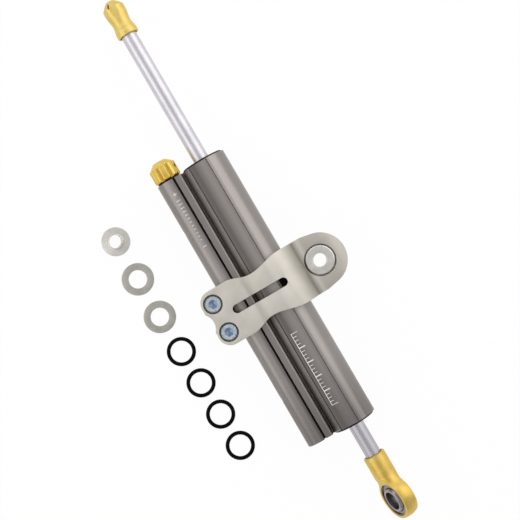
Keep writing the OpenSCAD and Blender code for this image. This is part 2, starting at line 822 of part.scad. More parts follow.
// Frame clamp: the outline across the body, then its plan
module clamp_section() {
    ear_h = ear_t / 2;
    top = clamp_top_h;
    base = clamp_base_h;
    far = rod_offset + ear_r + over;
    shoulder_y = wall_r - shoulder_r;
    fillet_y = wall_r + ear_fillet_r;
    crest_z = top - crest_r;
    rise = ear_h + ear_fillet_r - crest_z;
    run = sqrt(pow(crest_r + ear_fillet_r, 2) - pow(rise, 2));
    touch = atan2(rise, run);
    polygon(concat(
        [[-clamp_left - over, -base]],
        arc(shoulder_y, -base + shoulder_r, shoulder_r, -90, 0),
        arc(fillet_y, -ear_h - ear_fillet_r, ear_fillet_r, 180, 90),
        [[far, -ear_h], [far, ear_h]],
        arc(slope_right + run, ear_h + ear_fillet_r, ear_fillet_r, 270, 180 + touch),
        arc(slope_right, crest_z, crest_r, touch + arc_step, 90),
        [[-bend_at, clamp_land_h + bend_h], [-slope_left, clamp_land_h]],
        [[-clamp_left - over, clamp_land_h]]
    ));
}

// Half width of the clamp at a distance y from the rod's axis
function waist(y) =
    let (reach = y > -waist_at ? waist_right : waist_left, t = abs(y + waist_at) / reach)
    clamp_w / 2 - (t < 1 ? waist_deep * (1 + cos(180 * t)) / 2 : 0);

module clamp_plan() {
    half = clamp_w / 2;
    arm_y = rod_offset - ear_arm;
    away = norm([half, ear_arm]);
    touch = acos(ear_r / away) - atan2(ear_arm, half);
    notch_r = (pow(notch_half, 2) + pow(notch_deep, 2)) / (2 * notch_deep);
    notch_a = asin(notch_half / notch_r);
    steps = 12;
    side = concat(
        arc(0, rod_offset, ear_r, 90, touch),
        [[half, arm_y]],
        [for (i = [0:steps]) let (y = -waist_at + waist_right * (1 - i / steps)) [waist(y), y]],
        [for (i = [1:steps]) let (y = -waist_at - waist_left * i / steps) [waist(y), y]],
        arc(half - clamp_corner_r, -clamp_left + clamp_corner_r, clamp_corner_r, 0, -90),
        arc(0, -clamp_left + notch_deep - notch_r, notch_r, 90 - notch_a, 90)
    );
    polygon(concat(side, flip_x(side)));
}

module window_plan() {
    r = window_w / 2;
    polygon(concat(arc(0, window_right - r, r, 0, 180), arc(0, -window_left + r, r, 180, 360)));
}

module clamp_bore() {
    circle(r = body_r + clamp_fit);
    translate([-tube_spacing, 0]) circle(r = tube_r + clamp_fit);
    translate([-tube_spacing, -tube_r - clamp_fit]) square([tube_spacing, tube_d + 2 * clamp_fit]);
    translate([-clamp_left - 2 * over, -jaw_gap / 2]) square([clamp_left - tube_spacing, jaw_gap]);
}

module at_clamp_screws() {
    for (side = [-1, 1])
        translate([side * screw_spacing / 2, -tube_spacing - screw_from_tube, 0]) children();
}

module frame_clamp() {
    tall = clamp_top_h + clamp_base_h;
    race_r = ear_race_d / 2;
    color("#cdc6be") difference() {
        on_rod_axis() intersection() {
            across_x(-clamp_w, clamp_w) clamp_section();
            translate([0, 0, -clamp_base_h - over]) linear_extrude(tall + 2 * over) clamp_plan();
        }
        on_rod_axis() {
            across_x(-clamp_w, clamp_w) clamp_bore();
            linear_extrude(clamp_top_h + over) window_plan();
            at_clamp_screws() {
                translate([0, 0, screw_seat - seat_fit]) cylinder(d = screw_sink_d, h = tall);
                cylinder(d = screw_d + 2 * edge, h = tall);
                translate([0, 0, screw_seat - screw_l - over])
                    cylinder(r = screw_d / 2 + seat_fit, h = screw_l);
            }
        }
        translate([0, 0, -ear_t])
            cylinder(r = race_r + seat_fit, h = ear_t + ear_race_w / 2 + seat_fit);
        translate([0, 0, -ear_race_w / 2 - ear_ring_t - 2 * seat_fit])
            cylinder(r = race_r + ear_ring_seat, h = ear_ring_t + seat_fit);
        translate([0, 0, -ear_t]) cylinder(r = race_r - ear_lip, h = 2 * ear_t);
        translate([0, 0, ear_race_w / 2 + ear_shoulder]) cylinder(d = pocket_d, h = ear_t);
    }
}

module clamp_screws() {
    color("#9fb4c6") on_rod_axis() at_clamp_screws() translate([0, 0, screw_seat]) difference() {
        union() {
            rotate_extrude() polygon([
                [0, 0],
                [screw_head_d / 2, 0],
                [screw_head_d / 2, screw_head_h - edge],
                [screw_head_d / 2 - edge, screw_head_h],
                [0, screw_head_h]
            ]);
            translate([0, 0, -screw_l]) cylinder(d = screw_d, h = screw_l + edge);
        }
        translate([0, 0, screw_head_h - screw_key_deep]) hex(screw_key, screw_key_deep + over);
    }
}

module clamp_race() {
    color("#6d6a66") race(ear_race_d, ear_race_w, ear_ball_d);
}

module clamp_snap_ring() {
    race_r = ear_race_d / 2;
    color("#2a2a2c") translate([0, 0, -ear_race_w / 2 - ear_ring_t - seat_fit]) rotate(-90)
        snap_ring(
            race_r - ear_ring_in_r, race_r + ear_ring_seat - seat_fit, ear_ring_t - seat_fit,
            ear_ring_mouth);
}

module clamp_ball() {
    color("#8b8a8c") ball(ear_ball_d, ear_ball_w, ear_bore_d);
}

// Flanged spacer, its sleeve pointing down from z = 0
module spacer() {
    sleeve_r = ear_bore_d / 2 - run_fit;
    difference() {
        rotate_extrude() polygon([
            [0, -spacer_sleeve_l],
            [sleeve_r - edge / 2, -spacer_sleeve_l],
            [sleeve_r, -spacer_sleeve_l + edge / 2],
            [sleeve_r, 0],
            [spacer_flange_d / 2, 0],
            [spacer_flange_d / 2, spacer_flange_t - edge],
            [spacer_flange_d / 2 - edge, spacer_flange_t],
            [0, spacer_flange_t]
        ]);
        translate([0, 0, -spacer_sleeve_l - over])
            cylinder(d = spacer_bore_d, h = spacer_sleeve_l + spacer_flange_t + 2 * over);
    }
}

module clamp_spacer() {
    color("#cfccc6") translate([0, 0, ear_ball_w / 2 + seat_fit]) spacer();
}

// Adjuster in the back end of the side tube
module at_adjuster() {
    on_tube_axis() mirrored_end(false) children();
}

module adjuster_housing() {
    flange_r = housing_flange_d / 2;
    color("#1d1d1f") at_adjuster() difference() {
        turned([
            [spindle_d / 2 + run_fit, -housing_flange_t],
            [flange_r, -housing_flange_t],
            [flange_r, -seat_fit],
            [tube_bore_r - seat_fit, -seat_fit],
            [tube_bore_r - seat_fit, housing_l],
            [guide_r, housing_l],
            [guide_r, spindle_collar_at - seat_fit],
            [spindle_d / 2 + run_fit, spindle_collar_at - seat_fit]
        ]);
        cord_groove(tube_bore_r, small_cord_d, housing_cord_at);
        for (i = [0:knob_flutes - 1]) rotate([i * 360 / knob_flutes + detent_turn, 0, 0])
            translate([-housing_flange_t - detent_ball_d / 2 + detent_dimple, 0, detent_at])
                sphere(d = detent_ball_d);
    }
}

module housing_o_ring() {
    color("#151515") at_adjuster()
        o_ring_at(tube_bore_r - small_cord_d / 2, small_cord_d / 2 - seat_fit, housing_cord_at);
}

module adjuster_spindle() {
    socket_w = drive_w + 2 * run_fit;
    color("#a9adb2") at_adjuster() difference() {
        union() {
            bar(spindle_d / 2, spindle_top, spindle_collar_at + edge);
            bar(spindle_collar_d / 2, spindle_collar_at, spindle_end);
        }
        cord_groove(spindle_d / 2, spindle_cord_d, spindle_cord_at);
        translate([drive_floor, -socket_w / 2, -socket_w / 2])
            cube([drive_socket_l + over, socket_w, socket_w]);
    }
}

module spindle_o_ring() {
    color("#151515") at_adjuster()
        o_ring_at((spindle_d - spindle_cord_d) / 2, spindle_cord_d / 2 - seat_fit, spindle_cord_at);
}

module adjuster_knob() {
    r = knob_d / 2;
    color("#d9b845") at_adjuster() difference() {
        turned([
            [0, knob_top],
            [knob_top_d / 2, knob_top],
            [(r + knob_top_d / 2) / 2 + edge / 2, knob_top + knob_slope_h / 2 - edge / 2],
            [r, knob_top + knob_slope_h],
            [r, knob_base - 2 * edge],
            [r - 2 * edge, knob_base],
            [0, knob_base]
        ]);
        for (i = [0:knob_flutes - 1]) rotate([(i + 0.5) * 360 / knob_flutes, 0, 0])
            translate([0, 0, r + flute_r - flute_deep]) bar(flute_r, knob_top - over, knob_base + over);
        bar(spindle_d / 2 + seat_fit, spindle_top - seat_fit, knob_base + over);
        rotate([-grub_turn, 0, 0]) translate([knob_base - grub_at, 0, 0]) cylinder(d = grub_d, h = knob_d);
        rotate([detent_turn, 0, 0]) translate([0, 0, detent_at])
            bar(detent_ball_d / 2 + run_fit, knob_base - detent_hole_deep, knob_base + over);
    }
}

module knob_grub_screw() {
    from = spindle_d / 2 + seat_fit;
    length = knob_d / 2 - flute_deep - grub_below_flute - from;
    color("#1b1b1d") at_adjuster() rotate([-grub_turn, 0, 0]) translate([knob_base - grub_at, 0, from])
        difference() {
            cylinder(r = grub_d / 2 - seat_fit, h = length);
            translate([0, 0, length - grub_d / 2]) hex(grub_d / 2, grub_d);
        }
}

module detent_ball() {
    color("#b5b8bc") at_adjuster() rotate([detent_turn, 0, 0])
        translate([detent_ball_x, 0, detent_at]) sphere(d = detent_ball_d);
}

// Wound springs: one unbroken wire along X, from its first to its last ring
function coil_path(r, from, to, curls) =
    let (n = curls * rings_per_curl)
    [for (i = [0:n]) let (a = 360 * i / rings_per_curl)
        [from + (to - from) * i / n, r * cos(a), r * sin(a)]];

function least_gap(path, wire) =
    min([for (i = [0:len(path) - 1]) for (j = [i + rings_per_curl / 2:1:len(path) - 1])
        norm(path[i] - path[j])]) - wire;

module wound_wire(path, wire) {
    last = len(path) - 1;
    points = [for (i = [0:last])
        let (
            along = path[min(i + 1, last)] - path[max(i - 1, 0)],
            out = [0, path[i][1], path[i][2]] / norm([path[i][1], path[i][2]]),
            side = cross(along, out) / norm(cross(along, out)),
            up = cross(side, along) / norm(cross(side, along))
        )
        for (k = [0:wire_sides - 1]) let (a = 360 * k / wire_sides)
            path[i] + wire / 2 * (cos(a) * up + sin(a) * side)];
    walls = [for (i = [0:last - 1]) for (k = [0:wire_sides - 1])
        let (a = i * wire_sides + k, b = i * wire_sides + (k + 1) % wire_sides)
        for (face = [[a, b, b + wire_sides], [a, b + wire_sides, a + wire_sides]]) face];
    start = [for (k = [1:wire_sides - 2]) [0, k + 1, k]];
    end = [for (k = [1:wire_sides - 2]) let (z = last * wire_sides) [z, z + k, z + k + 1]];
    polyhedron(points, concat(walls, start, end));
}

module detent_spring() {
    color("#8f9296") at_adjuster() rotate([detent_turn, 0, 0]) translate([0, 0, detent_at])
        wound_wire(detent_path, detent_wire);
}

module needle_guide() {
    color("#b08d57") at_adjuster()
        ring(needle_thread_d / 2 + run_fit, guide_r - seat_fit, guide_from, housing_l - seat_fit);
}

module adjuster_needle() {
    thread_to = needle_thread_from + needle_thread_l;
    tip = taper_from + needle_taper_l;
    tang_from = drive_floor + drive_end_gap;
    color("#c4c7ca") {
        at_adjuster() {
            bar(needle_thread_d / 2, needle_thread_from, thread_to);
            translate([tang_from, -drive_w / 2, -drive_w / 2])
                cube([needle_thread_from - tang_from + edge, drive_w, drive_w]);
        }
        on_tube_axis() turned([
            [0, thread_to - body_back - edge],
            [needle_d / 2, thread_to - body_back - edge],
            [needle_d / 2, taper_from],
            [needle_tip_r, tip],
            [0, tip]
        ]);
    }
}

module valve_seat() {
    color("#b08d57") on_tube_axis()
        ring(orifice_d / 2, tube_bore_r - seat_fit, seat_from, seat_from + seat_l);
}

// Reservoir in the front end of the side tube
module reservoir_piston() {
    color("#b9bbbd") on_tube_axis() difference() {
        bar(tube_bore_r - run_fit, float_from, float_from + float_l);
        cord_groove(tube_bore_r, small_cord_d, float_cord_at);
        bar(tube_bore_r - float_skirt_wall, float_from - over, float_from + float_skirt_l);
    }
}

module reservoir_piston_o_ring() {
    color("#151515") on_tube_axis()
        o_ring_at(tube_bore_r - small_cord_d / 2, small_cord_d / 2 - run_fit, float_cord_at);
}

module reservoir_spring() {
    color("#8f9296") on_tube_axis() wound_wire(spring_path, spring_wire);
}

module reservoir_plug() {
    color("#1d1d1f") on_tube_axis() difference() {
        bar(tube_bore_r - seat_fit, plug_from, body_front - edge);
        cord_groove(tube_bore_r, small_cord_d, plug_cord_at);
        along_x(body_front - plug_l / 3) hex(tube_bore_r, plug_l);
    }
}

module plug_o_ring() {
    color("#151515") on_tube_axis()
        o_ring_at(tube_bore_r - small_cord_d / 2, small_cord_d / 2 - seat_fit, plug_cord_at);
}

// Loose fitting hardware, lying level with the flat underside of the clamp
module in_row(i) {
    rings = max(0, i - 2);
    along = rings > 0
        ? 2 * loose_step + first_ring_step + (rings - 1) * ring_step
        : i * loose_step;
    across = rod_offset + tube_spacing + loose_row - rings * ring_drift;
    translate([loose_start + along, -across, -clamp_base_h]) children();
}

module loose_spacer() {
    color("#cfccc6") in_row(0) translate([0, 0, spacer_flange_t]) rotate([180, 0, 0]) spacer();
}

module loose_washers() {
    color("#a5a39e") for (i = [1, 2]) in_row(i) difference() {
        cylinder(d = washer_d, h = washer_t);
        translate([0, 0, -over]) cylinder(d = washer_hole_d, h = washer_t + 2 * over);
    }
}

module loose_o_rings() {
    color("#101012") for (i = [3:6]) in_row(i) translate([0, 0, seal_ring_cord / 2])
        rotate_extrude() translate([seal_ring_d / 2, 0]) circle(d = seal_ring_cord, $fn = 32);
}

cylinder_body();
upper_gland();
lower_gland();
gland_o_rings();
rod_wipers();
rod_seals();
rod_bushes();
gland_circlips();
damper_rod();
piston();
piston_band();
piston_clips();
end_cap();
rod_end();
rod_end_race();
rod_end_snap_ring();
rod_end_ball();
frame_clamp();
clamp_screws();
clamp_race();
clamp_snap_ring();
clamp_ball();
clamp_spacer();
adjuster_housing();
housing_o_ring();
adjuster_spindle();
spindle_o_ring();
adjuster_knob();
knob_grub_screw();
detent_ball();
detent_spring();
needle_guide();
adjuster_needle();
valve_seat();
reservoir_piston();
reservoir_piston_o_ring();
reservoir_spring();
reservoir_plug();
plug_o_ring();
port_screws();
loose_spacer();
loose_washers();
loose_o_rings();
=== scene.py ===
from functools import partial
import json
import math

import bmesh
import bpy
from mathutils import Matrix, Vector


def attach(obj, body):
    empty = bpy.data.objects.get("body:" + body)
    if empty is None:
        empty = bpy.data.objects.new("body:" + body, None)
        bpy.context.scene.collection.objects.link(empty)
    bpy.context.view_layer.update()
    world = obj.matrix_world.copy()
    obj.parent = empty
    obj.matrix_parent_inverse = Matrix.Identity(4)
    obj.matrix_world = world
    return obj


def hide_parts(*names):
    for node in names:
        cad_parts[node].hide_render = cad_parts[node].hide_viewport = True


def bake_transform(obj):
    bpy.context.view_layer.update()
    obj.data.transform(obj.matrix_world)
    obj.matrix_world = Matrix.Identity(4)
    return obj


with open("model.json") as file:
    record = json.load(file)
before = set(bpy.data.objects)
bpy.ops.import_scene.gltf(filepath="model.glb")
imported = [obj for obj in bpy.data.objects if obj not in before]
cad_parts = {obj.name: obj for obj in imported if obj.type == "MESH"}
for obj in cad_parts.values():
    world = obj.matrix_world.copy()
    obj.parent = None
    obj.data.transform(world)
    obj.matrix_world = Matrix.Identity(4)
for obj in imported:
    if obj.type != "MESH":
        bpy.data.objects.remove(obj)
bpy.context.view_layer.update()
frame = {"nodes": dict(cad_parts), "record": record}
cadNodes = frame["nodes"]

mm = 0.001
rodY = -31.85  # the rod's axis, in mm from the ear's bearing
tubeY = -55.35  # the side tube's axis
floorZ = -19.4  # the clamp's flat underside lies on this level
samePlace = 0.00002  # in metres, the most that two equal places differ by
lap = 0.02  # in mm, how far a cut goes over the one it joins
camera = {"place": (-0.0185, -0.03185, 0.765), "turn": 59.7, "lens": 85.85, "nearest": 0.01}
studio = {
    "worldTone": "#C8C8CA",
    "worldStrength": 1.0,
    "floorTone": "#F4F4F4",
    "floorMiddle": (0, -0.04),
    "floorRadius": 8.0,
    "floorShows": 0.96,  # share of the floor that shows as plain white
    "softboxes": {
        # angle from straight up, heading, middle in X, distance, length, width, radiance
        "boxRight": (53, 0, -0.42, 1.0, 1.5, 1.05, 1.24),
        "boxLeft": (-50, 0, -0.38, 1.0, 1.5, 0.72, 1.22),
        "boxBack": (62, 90, 0.0, 1.0, 0.7, 0.7, 0.9),
    },
}


# Modelling helpers

def report(stage):
    print("stage:", stage)


def putDown():
    if bpy.context.object and bpy.context.object.mode != "OBJECT":
        bpy.ops.object.mode_set(mode="OBJECT")
    bpy.ops.object.select_all(action="DESELECT")


def takeUp(piece):
    putDown()
    piece.select_set(True)
    bpy.context.view_layer.objects.active = piece


def settle(piece):
    takeUp(piece)
    bpy.ops.object.transform_apply(location=True, rotation=True, scale=True)


def pick(piece, kind, test):
    # edit mode, with only the edges or faces that pass the test selected
    takeUp(piece)
    bpy.ops.object.mode_set(mode="EDIT")
    bpy.ops.mesh.select_mode(type=kind)
    bpy.ops.mesh.select_all(action="DESELECT")
    work = bmesh.from_edit_mesh(piece.data)
    work.normal_update()
    found = 0
    for part in (work.edges if kind == "EDGE" else work.faces):
        if test(part):
            part.select_set(True)
            found += 1
    bmesh.update_edit_mesh(piece.data)
    return found


def faceOutwards(piece):
    # merges what a cut left within a few thousandths of a mm, and turns all faces outwards
    takeUp(piece)
    bpy.ops.object.mode_set(mode="EDIT")
    bpy.ops.mesh.select_all(action="SELECT")
    bpy.ops.mesh.remove_doubles(threshold=0.000004)
    bpy.ops.mesh.normals_make_consistent(inside=False)
    bpy.ops.object.mode_set(mode="OBJECT")


def turnOnLathe(name, profile, sides=96):
    # profile: (place along the axis, radius) in mm; a profile that ends where it starts is hollow
    hollow = profile[0] == profile[-1]
    place, radius = profile[0]
    putDown()
    bpy.ops.mesh.primitive_circle_add(
        vertices=sides, radius=radius * mm, fill_type="NOTHING", location=(0, 0, place * mm))
    piece = bpy.context.object
    piece.name = name
    settle(piece)
    bpy.ops.object.mode_set(mode="EDIT")
    bpy.ops.mesh.select_mode(type="EDGE")
    bpy.ops.mesh.select_all(action="SELECT")
    if not hollow:
        bpy.ops.mesh.edge_face_add()
        bpy.ops.mesh.select_mode(type="EDGE")
        bpy.ops.mesh.select_all(action="SELECT")
    for nextPlace, nextRadius in profile[1:]:
        bpy.ops.mesh.extrude_region_move(
            TRANSFORM_OT_translate={"value": (0, 0, (nextPlace - place) * mm)})
        bpy.ops.transform.resize(
            value=(nextRadius / radius, nextRadius / radius, 1),
            center_override=(0, 0, nextPlace * mm))
        place, radius = nextPlace, nextRadius
    faceOutwards(piece)
    return piece


def closeEnds(piece):
    # a face over each open rim
    pick(piece, "EDGE", lambda edge: len(edge.link_faces) < 2)
    bpy.ops.mesh.edge_face_add()
    faceOutwards(piece)


def addBlock(name, low, high):
    putDown()
    bpy.ops.mesh.primitive_cube_add(size=1)
    piece = bpy.context.object
    piece.name = name
    piece.scale = [(b - a) * mm for a, b in zip(low, high)]
    piece.location = [(a + b) / 2 * mm for a, b in zip(low, high)]
    settle(piece)
    return piece


def addTrough(name, low, high, side):
    # a bar along X that narrows to a blunt V away from the surface it is cut into
    footShare = 0.12
    piece = addBlock(name, low, high)
    pick(piece, "FACE", lambda face: face.normal.z * side < -0.9)
    middle = (low[1] + high[1]) / 2 * mm
    bpy.ops.transform.resize(value=(1, footShare, 1), center_override=(0, middle, 0))
    putDown()
    return piece


def addRod(name, radius, start, end, sides=96):
    # a round bar from one point to another, in mm
    a, b = Vector(start), Vector(end)
    putDown()
    bpy.ops.mesh.primitive_cylinder_add(
        vertices=sides, radius=radius * mm, depth=(b - a).length * mm)
    piece = bpy.context.object
    piece.name = name
    piece.rotation_euler = (b - a).to_track_quat("Z", "Y").to_euler()
    piece.location = (a + b) / 2 * mm
    settle(piece)
    return piece


def combine(piece, other, way):
    # way is UNION or DIFFERENCE; the other piece is used up
    takeUp(piece)
    joined = piece.modifiers.new("combine", "BOOLEAN")
    joined.object = other
    joined.operation = way
    joined.solver = "EXACT"
    bpy.ops.object.modifier_apply(modifier=joined.name)
    bpy.data.objects.remove(other)


def cutOut(piece, *tools):
    for tool in tools:
        combine(piece, tool, "DIFFERENCE")


def spread(piece, *places):
    # copies of a piece, each with its own mesh, moved by these mm; the piece itself is the first
    made = [piece]
    for _ in places[1:]:
        twin = piece.copy()
        twin.data = piece.data.copy()
        bpy.context.scene.collection.objects.link(twin)
        made.append(twin)
    for one, place in zip(made, places):
        one.location = Vector(place) * mm
        settle(one)
    return made


def roundEdges(piece, width):
    takeUp(piece)
    soft = piece.modifiers.new("round", "BEVEL")
    soft.width = width * mm
    soft.segments = 3
    soft.limit_method = "ANGLE"
    soft.angle_limit = math.radians(30)
    soft.use_clamp_overlap = True
    bpy.ops.object.modifier_apply(modifier=soft.name)


def roundPicked(piece, test, width, segments):
    if pick(piece, "EDGE", test):
        bpy.ops.mesh.bevel(
            offset=width * mm, offset_type="OFFSET", segments=segments, profile=0.5,
            affect="EDGES", clamp_overlap=True, loop_slide=True)
    putDown()


def isSharp(edge, angle):
    return len(edge.link_faces) == 2 and edge.calc_face_angle(0) > math.radians(angle)


def copyOfNode(node, name):
    # the CAD solid's own shape, merged and cleaned, as the start of a finer piece
    source = cadNodes[node]
    twin = bpy.data.objects.new(name, source.data.copy())
    bpy.context.scene.collection.objects.link(twin)
    takeUp(twin)
    bpy.ops.object.mode_set(mode="EDIT")
    bpy.ops.mesh.select_all(action="SELECT")
    bpy.ops.mesh.remove_doubles(threshold=0.000002)
    bpy.ops.mesh.customdata_custom_splitnormals_clear()
    bpy.ops.mesh.mark_sharp(clear=True)
    bpy.ops.mesh.dissolve_limited(angle_limit=math.radians(0.6))
    bpy.ops.object.mode_set(mode="OBJECT")
    return twin


def placeAlongX(piece, y):
    # lays a turned piece along X: its own Z becomes X
    piece.matrix_world = (
        Matrix.Translation((0, y * mm, 0)) @ Matrix.Rotation(math.radians(90), 4, "Y"))
    settle(piece)


def finishPiece(piece, name, body, finish, node, smooth=32):
    # stands in for the node, rides on the body if there is one, and is smooth up to this angle
    piece.name = name
    piece.data.name = name
    settle(piece)
    bpy.ops.object.shade_smooth_by_angle(angle=math.radians(smooth))
    piece.data.materials.clear()
    piece.data.materials.append(finishes[finish])
    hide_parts(node)
    if body:
        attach(piece, body)


# Material helpers

def toLinear(hexTone):
    parts = [int(hexTone[i:i + 2], 16) / 255 for i in (1, 3, 5)]
    return [p / 12.92 if p <= 0.04045 else ((p + 0.055) / 1.055) ** 2.4 for p in parts] + [1.0]


def addNode(tree, kind, settings=None, links=None):
    node = tree.nodes.new(kind)
    for key, value in (settings or {}).items():
        if isinstance(key, int) or key in node.inputs:
            node.inputs[key].default_value = value
        else:
            setattr(node, key, value)
    for key, source in (links or {}).items():
        tree.links.new(source, node.inputs[key])
    return node


def newFinish(name, settings):
    material = bpy.data.materials.new(name)
    material.use_nodes = True
    tree = material.node_tree
    shader = tree.nodes["Principled BSDF"]
    for key, value in settings.items():
        shader.inputs[key].default_value = value
    place = addNode(tree, "ShaderNodeTexCoord").outputs["Object"]
    return material, tree, shader, place


def axesOf(tree, place):
    return addNode(tree, "ShaderNodeSeparateXYZ", links={0: place}).outputs


def calc(tree, operation, *values):
    # one step of arithmetic on numbers and sockets
    node = addNode(tree, "ShaderNodeMath", {"operation": operation})
    for socket, value in zip(node.inputs, values):
        if isinstance(value, (int, float)):
            socket.default_value = value
        else:
            tree.links.new(value, socket)
    return node.outputs[0]


def mixOn(tree, tone, share, other):
    # the tone, with this share of another one over it
    return addNode(tree, "ShaderNodeMix", {"data_type": "RGBA", 7: toLinear(other)},
                   {0: share, 6: tone}).outputs[2]


def twoTones(tree, factor, look):
    # a colour that wanders between the look's two tones
    return addNode(tree, "ShaderNodeMix", {
        "data_type": "RGBA", 6: toLinear(look["dark"]), 7: toLinear(look["light"])},
        {0: factor}).outputs[2]


def rangeOf(tree, factor, low, high, start=0.3, end=0.7):
    # from low to high while the factor runs from start to end; noise keeps within the defaults
    return addNode(tree, "ShaderNodeMapRange", {
        "From Min": start, "From Max": end, "To Min": low, "To Max": high},
        {"Value": factor}).outputs["Result"]


def shadesOn(tree, place, tone, shades):
    # each shade changes the tone along an axis, with places and reaches in mm:
    # (axis, start, end, strength, tone) comes in between two places, and
    # (axis, middle, reach before, reach after, strength, tone) is a soft band
    axes = axesOf(tree, place)
    for axis, *span, strength, other in shades:
        value = axes["XYZ".index(axis)]
        if len(span) == 2:
            share = rangeOf(tree, value, 0, strength, span[0] * mm, span[1] * mm)
        else:
            middle, before, after = span
            share = calc(tree, "MINIMUM", *[
                addNode(tree, "ShaderNodeMapRange", {
                    "interpolation_type": "SMOOTHSTEP", "From Min": middle * mm,
                    "From Max": (middle + reach) * mm, "To Min": strength, "To Max": 0.0},
                    {"Value": value}).outputs["Result"]
                for reach in (-before, after)])
        tone = mixOn(tree, tone, share, other)
    return tone


def grainAt(tree, place, size, stretch=(1, 1, 1), detail=2.0):
    # noise whose spots are about this many mm, drawn out along an axis by the stretch
    scale = [1 / (size * mm * s) for s in stretch]
    moved = addNode(tree, "ShaderNodeMapping", {"Scale": scale}, {"Vector": place})
    return addNode(tree, "ShaderNodeTexNoise", {"Scale": 1.0, "Detail": detail},
                   {"Vector": moved.outputs["Vector"]}).outputs["Fac"]


waveLength = 0.314  # of the wave node's bands at scale 1


def ringsAt(tree, place, pitch, axis="X"):
    # the spiral that a turning tool leaves, as rings this many mm apart along the axis
    moved = addNode(tree, "ShaderNodeMapping", {"Scale": [waveLength / (pitch * mm)] * 3},
                    {"Vector": place})
    return addNode(tree, "ShaderNodeTexWave", {
        "wave_type": "BANDS", "bands_direction": axis, "Scale": 1.0, "Distortion": 0.4,
        "Detail": 2.0}, {"Vector": moved.outputs["Vector"]}).outputs["Fac"]


def dressShader(tree, shader, look, tone, gloss, relief):
    # colour, roughness that follows the gloss, and a relief of the look's depth in mm
    bump = addNode(tree, "ShaderNodeBump", {"Distance": look["depth"] * mm}, {"Height": relief})
    tree.links.new(tone, shader.inputs["Base Color"])
    tree.links.new(rangeOf(tree, gloss, *look["rough"]), shader.inputs["Roughness"])
    tree.links.new(bump.outputs["Normal"], shader.inputs["Normal"])


# Finishes

def anodisedExtrusion(name, look):
    # grey anodised aluminium extrusion: fine die lines along it, a soft satin gloss
    material, tree, shader, place = newFinish(name, {"Metallic": 1.0})
    lines = grainAt(tree, place, look["lineWidth"], (look["lineRun"], 1, 1), 3)
    clouds = grainAt(tree, place, look["cloudSize"], (look["cloudRun"], 1, 1))
    lineShare = look["lineShare"]
    both = calc(tree, "MULTIPLY_ADD", lines, lineShare,
                calc(tree, "MULTIPLY", clouds, 1 - lineShare))
    tone = shadesOn(tree, place, twoTones(tree, both, look), look["shades"])
    # painted shadow under the clamp, which shows at both ends of the clamp's window
    axes = axesOf(tree, place)
    reach, shadowTone = look["clampShadow"]
    under = calc(tree, "COMPARE", axes[0], 0.0, reach * mm)
    for start, end in look["clampShadowFrom"]:
        share = rangeOf(tree, axes[1], 0, 1, start * mm, end * mm)
        tone = mixOn(tree, tone, calc(tree, "MULTIPLY", share, under), shadowTone)
    tone = printAndFlatShade(tree, place, tone, look["printAndShade"])
    dressShader(tree, shader, look, tone, lines, lines)
    return material


def printAndFlatShade(tree, place, tone, printAndShade):
    # a plain pale scale on the long flat, bars between a plus and a minus beside the knob, and a
    # painted shade across the flat
    x, y, z = axesOf(tree, place)
    do = partial(calc, tree)

    def within(value, low, high):
        return do("COMPARE", value, (low + high) / 2, (high - low) / 2)

    def faceAt(middle, tilt):
        # distance across a face that tilts about a line at this Y, and height along its normal
        c, s = math.cos(math.radians(tilt)), math.sin(math.radians(tilt))
        off = do("SUBTRACT", y, middle * mm)
        return (do("MULTIPLY_ADD", off, c, do("MULTIPLY", z, s)),
                do("MULTIPLY_ADD", off, -s, do("MULTIPLY", z, c)))

    def repeats(start, pitch, width):
        # stripes of this width across X, in the middle of each pitch
        phase = do("FLOORED_MODULO", do("SUBTRACT", x, start), pitch)
        return within(phase, (pitch - width) / 2, (pitch + width) / 2)

    across, height = faceAt(rodY, printAndShade["tilt"])
    onFlat = do("GREATER_THAN", height, printAndShade["flatHeight"] * mm)
    # painted shade across the flat, darkest on the tube's side
    darkAt, clearAt = printAndShade["flatShade"]
    shade = do("MULTIPLY", rangeOf(tree, across, 1, 0, darkAt * mm, clearAt * mm),
               do("GREATER_THAN", across, printAndShade["flatFrom"] * mm))
    tone = mixOn(tree, tone, do("MULTIPLY", onFlat, shade), printAndShade["flatTone"])
    start, end = [v * mm for v in printAndShade["scaleSpan"]]
    step, thick = printAndShade["tick"] * mm, printAndShade["tickWidth"] * mm
    longStep = step * printAndShade["longEach"]
    tick = repeats(start - step / 2, step, thick)
    longTick = repeats(start - longStep / 2, longStep, 2 * thick)
    low, short, tall = [v * mm for v in printAndShade["tickReach"]]
    ticks = do("MAXIMUM", do("MULTIPLY", tick, within(across, low, short)),
               do("MULTIPLY", longTick, within(across, low, tall)))
    line = within(across, low - printAndShade["lineWidth"] * mm, low)
    onScale = do("MULTIPLY", do("MULTIPLY", onFlat, within(x, start, end)),
                 do("MAXIMUM", ticks, line))

    across, height = faceAt(tubeY, printAndShade["tubeTilt"])
    onTube = do("GREATER_THAN", height, printAndShade["tubeHeight"] * mm)
    start, end = [v * mm for v in printAndShade["barSpan"]]
    wide = do("ABSOLUTE", across)
    shortest, growth = [v * mm for v in printAndShade["barReach"]]
    share = do("DIVIDE", do("SUBTRACT", end, x), end - start)
    bar = repeats(start, printAndShade["barPitch"] * mm, printAndShade["barWidth"] * mm)
    signs = do("MULTIPLY", do("MULTIPLY", within(x, start, end), bar),
               do("LESS_THAN", wide, do("MULTIPLY_ADD", share, growth, shortest)))
    thin, arm, gap = [printAndShade[key] * mm for key in ("signBar", "signArm", "signGap")]
    # a plus before the bars and a minus after them
    for at, half, reach in (
            (start - gap, thin, arm), (start - gap, arm, thin), (end + gap, thin, arm)):
        signs = do("MAXIMUM", signs, do(
            "MULTIPLY", within(x, at - half, at + half), do("LESS_THAN", wide, reach)))
    ink = do("MULTIPLY", do("MAXIMUM", onScale, do("MULTIPLY", onTube, signs)), printAndShade["cover"])
    return mixOn(tree, tone, ink, printAndShade["ink"])


